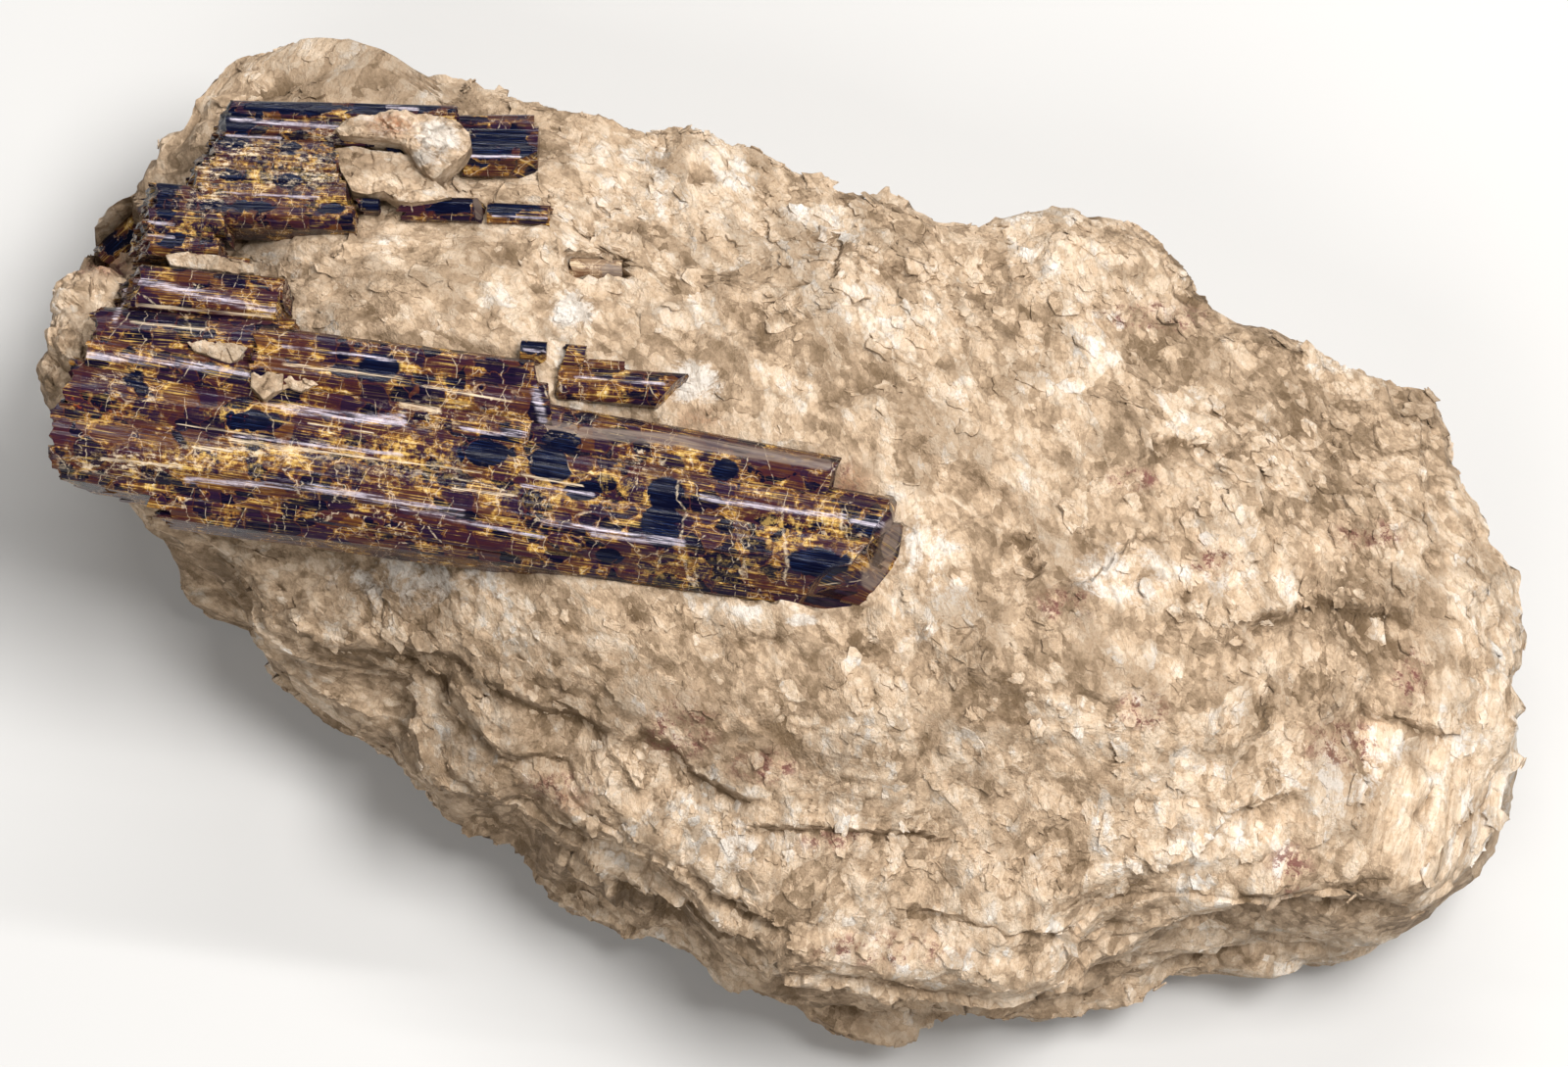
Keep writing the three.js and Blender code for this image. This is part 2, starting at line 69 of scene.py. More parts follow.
@dataclass(frozen=True)
class PhotoView:
    """How the photograph sees the specimen. Lengths are in millimetres and angles in radians."""

    scale: float = 0.075
    middle: tuple[float, float] = (800.0, 544.5)
    rise: float = math.radians(70)
    turn: float = math.radians(24)
    level: float = 20.0
    shift: tuple[float, float] = (1.1, 0.5)
    picture: tuple[int, int] = (1600, 1089)
    lens: float = 180.0
    sensor: float = 36.0

    def place(self, px: Array, py: Array, height: Array) -> Array:
        """The point that shows at a pixel, at a given height.

        Args:
            px: Pixels across the picture.
            py: Pixels down the picture.
            height: Height above the resting surface.

        Returns:
            Points, one row each, before the origin's shift.
        """
        px, py, height = np.broadcast_arrays(np.asarray(px, float), py, height)
        across = (px - self.middle[0]) * self.scale
        upward = (self.middle[1] - py) * self.scale
        away = (upward - (height - self.level) * math.cos(self.rise)) / math.sin(self.rise)
        cos, sin = math.cos(self.turn), math.sin(self.turn)
        return np.stack([across * cos - away * sin, across * sin + away * cos, height], axis=-1)

    def turned(self, points: Array) -> tuple[Array, Array]:
        """How far points reach in plan to the picture's right, and away from its viewer."""
        cos, sin = math.cos(self.turn), math.sin(self.turn)
        return points[..., 0] * cos + points[..., 1] * sin, points[..., 1] * cos - points[..., 0] * sin

    def pixels(self, points: Array) -> tuple[Array, Array]:
        """The pixels at which points show, by a parallel view.

        Args:
            points: Points, one row each, before the origin's shift.

        Returns:
            Pixels across and pixels down.
        """
        across, away = self.turned(points)
        upward = away * math.sin(self.rise) + (points[..., 2] - self.level) * math.cos(self.rise)
        return across / self.scale + self.middle[0], self.middle[1] - upward / self.scale



VIEW = PhotoView()


def smooth_step(values: Array, low: float, high: float) -> Array:
    """Rises from 0 at low to 1 at high along a cubic.

    Args:
        values: Values to map.
        low: Value that gives 0.
        high: Value that gives 1.

    Returns:
        Shares from 0 to 1.
    """
    share = np.clip((values - low) / (high - low), 0, 1)
    return share * share * (3 - 2 * share)


def lattice(i: Array, j: Array, k: Array) -> Array:
    """A fixed value from 0 to 1 for each lattice point: the fraction left of a large sine.

    Args:
        i: First lattice number.
        j: Second lattice number.
        k: Third lattice number.

    Returns:
        Values from 0 to 1.
    """
    wave = np.sin(i * 127.1 + j * 311.7 + k * 74.7) * 43758.5453
    return wave - np.floor(wave)


def smooth_noise(points: Array, size: float, stretch: tuple[float, float, float] = (1, 1, 1)) -> Array:
    """Lattice values blended by a cubic in each direction, from -1 to 1.

    Args:
        points: Points, one row each.
        size: Distance between lattice points.
        stretch: Factors on x, y and z before the lattice is read.

    Returns:
        One value for each point.
    """
    scaled = points * np.array(stretch) / size
    cell = np.floor(scaled)
    part = scaled - cell
    ease = part * part * (3 - 2 * part)
    total = np.zeros(len(points))
    for corner in range(8):
        step = np.array([corner & 1, corner >> 1 & 1, corner >> 2 & 1])
        weight = np.prod(np.where(step, ease, 1 - ease), axis=1)
        total += weight * lattice(*(cell + step).T)
    return total * 2 - 1


def rough_noise(points: Array, size: float, octaves: int) -> Array:
    """Smooth noise summed over octaves, each half the size and half the strength.

    Args:
        points: Points, one row each.
        size: Size of the largest octave.
        octaves: How many are summed.

    Returns:
        One value for each point.
    """
    return sum(smooth_noise(points, size / 2**n) / 2**n for n in range(octaves))


def chipped_planes(points: Array, size: float) -> tuple[Array, Array]:
    """Splits space into cells about one size across, each a plane of its own tilt.

    Args:
        points: Points, one row each.
        size: Size of a cell.

    Returns:
        The height on the nearest cell's plane, and a fixed value from 0 to 1 for that cell.
    """
    scaled = points / size
    base = np.floor(scaled)
    nearest = np.full(len(points), np.inf)
    height = np.zeros(len(points))
    mark = np.zeros(len(points))
    for n in range(27):
        a, b, c = (base + np.array([n // 9 - 1, n // 3 % 3 - 1, n % 3 - 1])).T
        du = scaled[:, 0] - a - lattice(a, b, c)
        dv = scaled[:, 1] - b - lattice(a + 37, b, c)
        dw = scaled[:, 2] - c - lattice(a, b + 53, c)
        distance = du * du + dv * dv + dw * dw
        closer = distance < nearest
        nearest = np.where(closer, distance, nearest)
        a, b, c = a[closer], b[closer], c[closer]
        tilts = [lattice(a + offset, b + offset, c) * 2 - 1 for offset in (11, 23, 31, 47)]
        level = du[closer] * tilts[0] + dv[closer] * tilts[1] + dw[closer] * tilts[2]
        height[closer] = level + 0.5 * tilts[3]
        mark[closer] = lattice(a + 61, b, c + 7)
    return height, mark


def softened_planes(points: Array, size: float) -> Array:
    """The height of chipped planes averaged over four near points, so that steps become short slopes.

    Args:
        points: Points, one row each.
        size: Size of a cell.

    Returns:
        One height for each point.
    """
    corners = np.array([(1, 1, 1), (1, -1, -1), (-1, 1, -1), (-1, -1, 1)]) * 0.045 * size
    return sum(chipped_planes(points + corner, size)[0] for corner in corners) / 4


@dataclass(frozen=True)
class Prism:
    """One striated prism: pixels and heights of its ridge's ends, width and depth, and its ridge's offset.

    For the first and the last end, lean moves the foot out (or in, where it is negative), skew turns
    the end across, and ragged is how far its broken planes step, in millimetres.
    """

    start: Pixel
    end: Pixel
    height: tuple[float, float]
    size: tuple[float, float]
    ridge: float = 0.0
    lean: tuple[float, float] = (0.0, 0.0)
    skew: tuple[float, float] = (0.0, 0.0)
    ragged: tuple[float, float] = (0.5, 0.15)

    def axes(self) -> tuple[Array, Array, Array, Array, float]:
        """The ridge's start, the directions along, across and up, and the length."""
        start = VIEW.place(*self.start, self.height[0])
        along = VIEW.place(*self.end, self.height[1]) - start
        length = float(np.linalg.norm(along))
        along = along / length
        up = np.array([0.0, 0.0, 1.0]) - along * along[2]
        up /= np.linalg.norm(up)
        return start, along, np.cross(up, along), up, length

    def depth_inside(self, points: Array) -> tuple[Array, Array, Array]:
        """Where points lie in plan against the ridge.

        Args:
            points: Points, one row each.

        Returns:
            Distance along the ridge, distance across it, and the ridge's height there.
        """
        start, along, across, _, length = self.axes()
        away = points - start
        run = away @ along
        height = self.height[0] + (self.height[1] - self.height[0]) * np.clip(run / length, 0, 1)
        return run, away @ across, height


@dataclass(frozen=True)
class EndFace:
    """A flat face that ends a crystal: a pixel and height on it, and the way it faces."""

    at: Pixel
    height: float
    facing: tuple[float, float, float]

    def plane(self) -> tuple[Array, Array]:
        """A point on the face and its outward normal."""
        normal = np.array(self.facing)
        return VIEW.place(*self.at, self.height), normal / np.linalg.norm(normal)


def blades(
    count: int,
    first: Pixel,
    last: Pixel,
    first_end: Pixel,
    last_end: Pixel,
    height: float,
    size: tuple[float, float],
    ragged: tuple[float, float],
    seed: int,
    lean: float,
) -> list[Prism]:
    """Parallel thin prisms side by side, each broken off at its own length.

    Args:
        count: How many blades.
        first: Pixel where the first blade starts.
        last: Pixel where the last blade starts.
        first_end: Pixel where the first blade ends.
        last_end: Pixel where the last blade ends.
        height: Height of the ridges.
        size: Width and depth of a blade.
        ragged: How far the two ends jog, in pixels.
        seed: Number of the series of jogs.
        lean: How far the left ends lean out.

    Returns:
        The blades, in order.
    """
    made = []
    for n in range(count):
        share = n / (count - 1)
        jog = [(float(lattice(n, seed, offset)) - 0.5) * 2 for offset in (1, 2, 3, 4, 5, 7)]
        rise = 0.35 * jog[4]
        start = np.add(first, np.subtract(last, first) * share) + (ragged[0] * jog[0], 0)
        end = np.add(first_end, np.subtract(last_end, first_end) * share) + (ragged[1] * jog[1], 0)
        heights = (height + rise, height + rise + 0.2 * jog[5])
        section = (size[0] * (1 + 0.15 * jog[2]), size[1])
        made.append(Prism(tuple(start), tuple(end), heights, section, ridge=0.3 * jog[3], lean=(lean, 0.1)))
    return made


@dataclass(frozen=True)
class Spot:
    """A soft-edged patch in the picture: centre, half sizes and strength."""

    at: Pixel
    half: tuple[float, float]
    strength: float = 1.0


def spot_rows(*rows: tuple[float, ...]) -> list[Spot]:
    """Spots from rows of the centre, the half sizes and, where it isn't 1, the strength."""
    return [Spot(row[:2], row[2:4], *row[4:]) for row in rows]


def painted(points: Array, spots: list[Spot]) -> Array:
    """How strongly spots cover points: the highest of their bells, seen as the photograph sees them.

    Args:
        points: Points, one row each.
        spots: The patches.

    Returns:
        Shares from 0 to 1.
    """
    px, py = VIEW.pixels(points)
    cover = np.zeros(len(points))
    for spot in spots:
        away = ((px - spot.at[0]) / spot.half[0]) ** 2 + ((py - spot.at[1]) / spot.half[1]) ** 2
        cover = np.maximum(cover, spot.strength * np.exp(-(away**1.5)))
    return np.clip(cover, 0, 1)


def make_piece(name: str, points: Array, faces: list, sharp: float = 35.0) -> Object:
    """Puts a surface into a mesh object at the origin that rides on the specimen.

    Args:
        name: Name of the piece.
        points: Vertices in millimetres, before the origin's shift.
        faces: Arrays of triangles and quads, as vertex numbers.
        sharp: Angle in degrees from which an edge stays sharp.

    Returns:
        The object.
    """
    mesh = bpy.data.meshes.new(name)
    placed = (points + np.array([*VIEW.shift, 0.0])) * MM
    corners = np.concatenate([np.asarray(part, dtype=np.int32).ravel() for part in faces])
    counts = np.concatenate([np.full(len(part), np.shape(part)[1], dtype=np.int32) for part in faces])
    mesh.vertices.add(len(placed))
    mesh.vertices.foreach_set("co", placed.astype(np.float32).ravel())
    mesh.loops.add(len(corners))
    mesh.loops.foreach_set("vertex_index", corners)
    mesh.polygons.add(len(counts))
    mesh.polygons.foreach_set("loop_start", np.concatenate([[0], np.cumsum(counts)[:-1]]).astype(np.int32))
    mesh.update(calc_edges=True)
    mesh.shade_smooth()
    mesh.set_sharp_from_angle(angle=math.radians(sharp))
    piece = bpy.data.objects.new(name, mesh)
    bpy.context.scene.collection.objects.link(piece)
    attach(piece, Body.ROOT.value)
    return piece


def set_values(piece: Object, name: str, values: Array) -> None:
    """Stores one number or one vector for each vertex of a piece.

    Args:
        piece: The piece.
        name: Name that its material reads.
        values: Numbers, or rows of three.
    """
    vector = values.ndim == 2
    layer = piece.data.attributes.new(name, "FLOAT_VECTOR" if vector else "FLOAT", "POINT")
    layer.data.foreach_set("vector" if vector else "value", values.astype(np.float32).ravel())


def closed_run(corners: Array) -> tuple[Array, Array]:
    """A closed line's corners with the first one repeated, and each one's distance round the line."""
    closed = np.vstack([corners, corners[:1]])
    return closed, np.concatenate([[0], np.cumsum(np.linalg.norm(np.diff(closed, axis=0), axis=1))])


def ring_quads(rows: int, columns: int, offset: int = 0) -> Array:
    """Quads between closed rings of vertices, each row a ring.

    Args:
        rows: Number of rings.
        columns: Vertices in a ring.
        offset: Number of the first vertex.

    Returns:
        Vertex numbers, four to a face.
    """
    row, column = np.meshgrid(np.arange(rows - 1), np.arange(columns), indexing="ij")
    following = (column + 1) % columns
    low, high = row * columns + offset, (row + 1) * columns + offset
    return np.stack([low + column, low + following, high + following, high + column], axis=-1).reshape(-1, 4)


def closed_tube(points: Array, columns: int) -> tuple[Array, list[Array]]:
    """Rings joined into a tube, closed by fans round the middles of the first and the last ring.

    Args:
        points: The rings' vertices, ring after ring.
        columns: Vertices in a ring.

    Returns:
        Vertices, and the faces: quads, then triangles.
    """
    count = len(points)
    poles = np.array([points[:columns].mean(axis=0), points[-columns:].mean(axis=0)])
    column = np.arange(columns)
    following = (column + 1) % columns
    near = np.stack([following, column, np.full(columns, count)], axis=1)
    last = count - columns
    far = np.stack([column + last, following + last, np.full(columns, count + 1)], axis=1)
    return np.vstack([points, poles]), [ring_quads(count // columns, columns), np.vstack([near, far])]


class Graph:
    """A material's or group's nodes, made and joined by short calls."""

    def __init__(self, tree: NodeTree) -> None:
        """Args: tree: The node tree to fill."""
        self.tree = tree

    def add(self, kind: str, inputs: dict | None = None, **settings: object) -> Node:
        """Makes a node.

        Args:
            kind: Blender's name for the node, without its ShaderNode start.
            inputs: Socket names or numbers, each with a value or the socket that feeds it.
            settings: Properties of the node.

        Returns:
            The node.
        """
        node = self.tree.nodes.new("ShaderNode" + kind)
        for key, value in settings.items():
            setattr(node, key, value)
        for key, value in (inputs or {}).items():
            self.feed(node.inputs[key], value)
        return node

    def feed(self, socket: Socket, value: object) -> None:
        """Links a socket to another, or sets its number.

        Args:
            socket: The input.
            value: An output socket, or a number or tuple.
        """
        if isinstance(value, Socket):
            self.tree.links.new(value, socket)
        else:
            socket.default_value = value

    def math(self, operation: str, a: object, b: object = 0.0) -> Socket:
        """One sum on numbers: operation of a and b."""
        return self.add("Math", {0: a, 1: b}, operation=operation).outputs[0]

    def times(self, a: object, b: object) -> Socket:
        """The product of two numbers."""
        return self.math("MULTIPLY", a, b)

    def centred(self, value: object, middle: float = 0.5) -> Socket:
        """A value less its middle."""
        return self.math("SUBTRACT", value, middle)

    def total(self, *terms: object) -> Socket:
        """A sum of terms, each a value or a pair of a value and its factor."""
        values = [self.times(*term) if isinstance(term, tuple) else term for term in terms]
        sum_so_far = values[0]
        for value in values[1:]:
            sum_so_far = self.math("ADD", sum_so_far, value)
        return sum_so_far

    def vector(self, operation: str, a: object, b: object) -> Socket:
        """One sum on vectors: operation of a and b."""
        return self.add("VectorMath", {0: a, 1: b}, operation=operation).outputs[0]

    def scaled(self, vector: object, factor: object) -> Socket:
        """A vector times a number."""
        return self.add("VectorMath", {0: vector, 3: factor}, operation="SCALE").outputs[0]

    def stretched(self, vector: object, factors: tuple[float, float, float]) -> Socket:
        """A vector with a factor on each of its parts."""
        return self.add("Mapping", {"Vector": vector, "Scale": factors}).outputs[0]

    def turned(self, vector: object, angle: object) -> Socket:
        """A vector turned about the vertical by an angle in radians."""
        return self.add("VectorRotate", {"Vector": vector, "Angle": angle}, rotation_type="Z_AXIS").outputs[0]

    def parts(self, vector: object) -> Sockets:
        """The three parts of a vector or colour."""
        return self.add("SeparateXYZ", {0: vector}).outputs

    def stored(self, name: str, output: str = "Fac") -> Socket:
        """A value that the mesh stores for each vertex."""
        return self.add("Attribute", attribute_name=name).outputs[output]

    def mix(self, share: object, a: object, b: object) -> Socket:
        """Colour a turned by a share towards colour b, a socket or three numbers."""
        node = self.add("Mix", data_type="RGBA")
        self.feed(node.inputs[0], share)
        self.feed(node.inputs[6], a)
        self.feed(node.inputs[7], (*b, 1.0) if isinstance(b, tuple) else b)
        return node.outputs[2]

    def span(
        self, value: object, low: float, high: float, to: tuple[float, float] = (0.0, 1.0)
    ) -> Socket:
        """A value mapped smoothly from low..high to a new span, clamped."""
        inputs = {0: value, 1: low, 2: high, 3: to[0], 4: to[1]}
        return self.add("MapRange", inputs, interpolation_type="SMOOTHSTEP").outputs[0]

    def ramp(self, value: object, stops: list[tuple[float, Colour]]) -> Socket:
        """Colours by value.

        Args:
            value: The number read.
            stops: Places from 0 to 1, each with a colour.

        Returns:
            The colour.
        """
        node = self.add("ValToRGB", {0: value})
        while len(node.color_ramp.elements) < len(stops):
            node.color_ramp.elements.new(1.0)
        for element, (place, colour) in zip(node.color_ramp.elements, stops):
            element.position = place
            element.color = (*colour, 1.0)
        return node.outputs[0]

    def noise(
        self, vector: object, scale: object, detail: float = 2.0, rough: float = 0.5, bend: float = 0.0
    ) -> Socket:
        """Noise from 0 to 1 at a scale per unit of the vector."""
        inputs = {"Vector": vector, "Scale": scale, "Detail": detail, "Roughness": rough, "Distortion": bend}
        return self.add("TexNoise", inputs).outputs[0]

    def noise_vector(self, vector: object, scale: float, detail: float, rough: float = 0.5) -> Socket:
        """Noise in three parts, each from -0.5 to 0.5."""
        inputs = {"Vector": vector, "Scale": scale, "Detail": detail, "Roughness": rough}
        return self.vector("SUBTRACT", self.add("TexNoise", inputs).outputs["Color"], (0.5, 0.5, 0.5))

    def cells(self, vector: object, feature: str = "F1", random: float = 1.0) -> Sockets:
        """The outputs of a pattern of cells, about one unit of the vector across."""
        inputs = {"Vector": vector, "Scale": 1.0, "Randomness": random}
        return self.add("TexVoronoi", inputs, feature=feature).outputs

    def place_group(self, group: NodeTree, inputs: dict) -> Sockets:
        """Places a shared group with its own values.

        Args:
            group: The group.
            inputs: Its sockets' values.

        Returns:
            The group's outputs.
        """
        node = self.add("Group")
        node.node_tree = group
        for key, value in inputs.items():
            self.feed(node.inputs[key], value)
        return node.outputs

    def surface(self, height: object, inputs: dict) -> None:
        """Joins the material's surface to its output.

        Args:
            height: Height of the bumps in millimetres.
            inputs: The surface's other values by socket name.
        """
        bump = self.add("Bump", {"Height": height, "Strength": 1.0, "Distance": MM})
        shader = self.add("BsdfPrincipled", {**inputs, "Normal": bump.outputs[0]})
        self.feed(self.add("OutputMaterial").inputs["Surface"], shader.outputs[0])


def new_material(name: str) -> tuple[Material, Graph]:
    """An empty material and its graph."""
    material = bpy.data.materials.new(name)
    material.use_nodes = True
    material.node_tree.nodes.clear()
    return material, Graph(material.node_tree)


def new_group(
    name: str, inputs: dict[str, tuple[str, object]], outputs: dict[str, str]
) -> tuple[NodeTree, Graph, Node, Node]:
    """A shader node group with named sockets.

    Args:
        name: Name of the group.
        inputs: Socket names with their kind and value.
        outputs: Socket names with their kind.

    Returns:
        The group, its graph, its input node and its output node.
    """
    group = bpy.data.node_groups.new(name, "ShaderNodeTree")
    for key, (kind, value) in inputs.items():
        socket = group.interface.new_socket(key, in_out="INPUT", socket_type="NodeSocket" + kind)
        if value is not None:
            socket.default_value = value
    for key, kind in outputs.items():
        group.interface.new_socket(key, in_out="OUTPUT", socket_type="NodeSocket" + kind)
    return group, Graph(group), group.nodes.new("NodeGroupInput"), group.nodes.new("NodeGroupOutput")


def cleavage_group() -> NodeTree:
    """Ragged cleavage plates: cells that each have a tilt, a step, a shade and fine lines of their own.

    The coordinates are turned about the vertical by a slow noise, so that the plates lean round
    in sweeps, and bent by a rough noise, so that their edges are ragged. A plate's height is the
    distance from its middle along its own tilt, plus its own step.

    Returns:
        The group, with the height in millimetres and a fixed shade for each plate.
    """
    group, g, given, out = new_group(
        "cleavage plates",
        {
            "Place": ("Vector", None),
            "Size": ("Float", 2.5),
            "Ragged": ("Float", 0.5),
            "Tilt": ("Float", 0.5),
            "Lines": ("Float", 0.1),
            "Line pitch": ("Float", 0.2),
        },
        {"Height": "Float", "Shade": "Float", "Line": "Float", "Border": "Float"},
    )
    given, out = given.outputs, out.inputs
    place, size = given["Place"], given["Size"]
    sweep = g.times(g.noise(place, 0.018, 0.0), 1.3)
    laid = g.stretched(g.turned(place, sweep), (0.55, 1.0, 0.9))
    laid = g.scaled(laid, g.math("DIVIDE", 1.0, size))
    bent = g.vector("ADD", laid, g.scaled(g.noise_vector(laid, 1.1, 4.0, 0.62), given["Ragged"]))
    cell = g.cells(bent)
    away = g.vector("SUBTRACT", bent, cell["Position"])
    tilt = g.vector("SUBTRACT", cell["Color"], (0.5, 0.5, 0.5))
    slope = g.add("VectorMath", {0: away, 1: tilt}, operation="DOT_PRODUCT").outputs["Value"]
    own = g.parts(cell["Color"])
    step = g.times(g.centred(own[0]), 0.5)
    plate = g.times(g.total(slope, step), g.times(size, given["Tilt"]))
    turned = g.turned(g.scaled(away, size), g.times(own[2], 1.5))
    turned = g.vector("ADD", turned, g.scaled(cell["Color"], 40.0))
    pitch = g.math("DIVIDE", 1.0, given["Line pitch"])
    line = g.noise(g.stretched(turned, (0.1, 1.0, 0.8)), pitch, 3.0, 0.62)
    g.feed(out["Height"], g.total(plate, (line, given["Lines"])))
    g.feed(out["Shade"], own[1])
    g.feed(out["Line"], line)
    g.feed(out["Border"], g.span(cell["Distance"], 0.58, 0.76))
    return group


@dataclass(frozen=True)
class Stroke:
    """A line drawn through pixels of the photograph, with its width in pixels."""

    line: tuple[Pixel, ...]
    width: float


def stroke_reach(points: Array, strokes: list[Stroke], waver: float) -> Array:
    """How far points are from the nearest stroke, in half widths of that stroke, at most 4.

    The distance to a straight part is taken from its nearest point, which lies at the share of the
    way from its start to its end that the point projects to.

    Args:
        points: Points, one row each.
        strokes: The strokes.
        waver: How far the strokes wander, in pixels.

    Returns:
        One number for each point.
    """
    seen = np.stack(VIEW.pixels(points), axis=1)
    seen += waver * np.stack([smooth_noise(points + offset, 1.1) for offset in (0, 70)], axis=1)
    seen += 0.4 * waver * np.stack([smooth_noise(points + offset, 0.4) for offset in (20, 90)], axis=1)
    nearest = np.full(len(points), 4.0)
    for stroke in strokes:
        for start, end in zip(stroke.line, stroke.line[1:]):
            way = np.subtract(end, start)
            away = seen - start
            share = np.clip(away @ way / (way @ way), 0, 1)
            distance = np.linalg.norm(away - share[:, None] * way, axis=1)
            nearest = np.minimum(nearest, distance / (stroke.width / 2))
    return nearest


def stroke_rows(*rows: tuple) -> list[Stroke]:
    """Strokes from rows of a width and the pixels that the line runs through."""
    return [Stroke(tuple(line), width) for width, *line in rows]


# Pale healed cracks across the crystals
CRACKS = stroke_rows(
    (3.0, (553, 448), (543, 480), (525, 494), (516, 518)), (2.0, (541, 445), (536, 470), (521, 487)),
    (2.6, (571, 562), (580, 538), (628, 512)), (1.6, (628, 512), (637, 535), (633, 545)),
    (3.4, (694, 494), (701, 537), (697, 562), (709, 597)),
    (2.2, (709, 590), (717, 553), (725, 543), (738, 560)), (1.8, (738, 560), (733, 584), (726, 598)),
    (2.4, (752, 530), (760, 566), (761, 602)), (3.6, (799, 519), (799, 555), (804, 598)),
    (3.0, (856, 530), (865, 562), (861, 598)), (2.4, (440, 469), (470, 474), (474, 490), (536, 509)),
    (2.4, (173, 314), (169, 340), (169, 366)), (2.0, (202, 320), (199, 344)),
    (1.6, (172, 372), (172, 410)), (2.6, (108, 401), (145, 408), (173, 410)),
    (2.0, (206, 288), (205, 308)), (2.0, (352, 440), (353, 462)),
    (2.6, (372, 468), (362, 500), (348, 516)), (2.4, (412, 455), (402, 478), (398, 500)),
    (2.2, (468, 478), (472, 505), (458, 540)), (1.6, (614, 398), (611, 378)),
    (2.0, (650, 470), (655, 500)),
)

# Long cream and white lines that run with the grain
GRAIN_LINES = stroke_rows(
    (4.2, (248, 451), (290, 457), (330, 462)), (1.8, (330, 462), (452, 477), (500, 484)),
    (5.0, (419, 416), (456, 422)), (1.5, (193, 435), (294, 449)), (1.6, (325, 434), (391, 444)),
    (2.2, (440, 397), (530, 413)), (3.0, (212, 458), (250, 462)), (3.0, (120, 470), (200, 478)),
    (3.0, (540, 486), (600, 497)), (3.0, (470, 500), (530, 507)), (2.6, (146, 333), (220, 340)),
    (2.6, (150, 315), (285, 327)), (2.6, (300, 375), (420, 390)),
)

# Lilac-grey bands where the ridges catch the light: painted highlights
PAINTED_HIGHLIGHTS = stroke_rows(
    (7.0, (100, 366), (193, 374), (266, 386)), (6.0, (280, 414), (366, 426), (420, 428)),
    (6.5, (205, 491), (337, 500), (480, 524)), (8.0, (150, 291), (193, 300), (288, 321)),
    (5.0, (560, 532), (660, 548), (700, 552)), (9.0, (552, 402), (560, 432)),
    (7.0, (480, 440), (540, 446)), (5.0, (540, 497), (610, 506)),
    (5.0, (718, 508), (790, 520), (860, 528)), (6.0, (868, 532), (900, 536)),
    (4.0, (250, 446), (420, 466)), (8.0, (300, 420), (420, 434)), (5.0, (610, 545), (700, 556)),
    (5.0, (420, 520), (560, 548)), (3.5, (300, 358), (420, 372)), (3.0, (590, 388), (680, 394)),
    (3.0, (230, 200), (330, 206)), (2.5, (540, 361), (562, 362)), (4.0, (476, 161), (532, 163)),
    (2.5, (505, 224), (560, 226)), (4.0, (398, 112), (428, 114)), (3.0, (160, 230), (185, 233)),
    (2.5, (158, 244), (186, 246)), (6.0, (128, 268), (136, 300), (130, 330)),
    (3.5, (240, 124), (300, 130), (380, 136)), (3.0, (236, 141), (290, 144)),
)

# Smooth grey-brown facets: the crystal's back slope, its end and the needle's end. The grey-brown is painted
# sheen for the light these facets reflect.
SHEEN_FACETS = stroke_rows(
    (11.0, (600, 444), (700, 452), (842, 476)), (18.0, (907, 540), (901, 566), (886, 592)),
    (7.0, (490, 208), (492, 224)), (8.0, (566, 436), (590, 440)),
)

STROKES = {"crack": CRACKS, "line": GRAIN_LINES, "painted_highlight": PAINTED_HIGHLIGHTS, "facet_sheen": SHEEN_FACETS}


# Sizes of the broad, small and tiny cleavage plates, in millimetres
PLATES = (
    {"Size": 4.4, "Ragged": 0.7, "Tilt": 0.2, "Lines": 0.14},
    {"Size": 1.5, "Ragged": 0.6, "Tilt": 0.34, "Lines": 0.06, "Line pitch": 0.11},
    {"Size": 0.62, "Ragged": 0.85, "Tilt": 0.34, "Lines": 0.03, "Line pitch": 0.07},
)


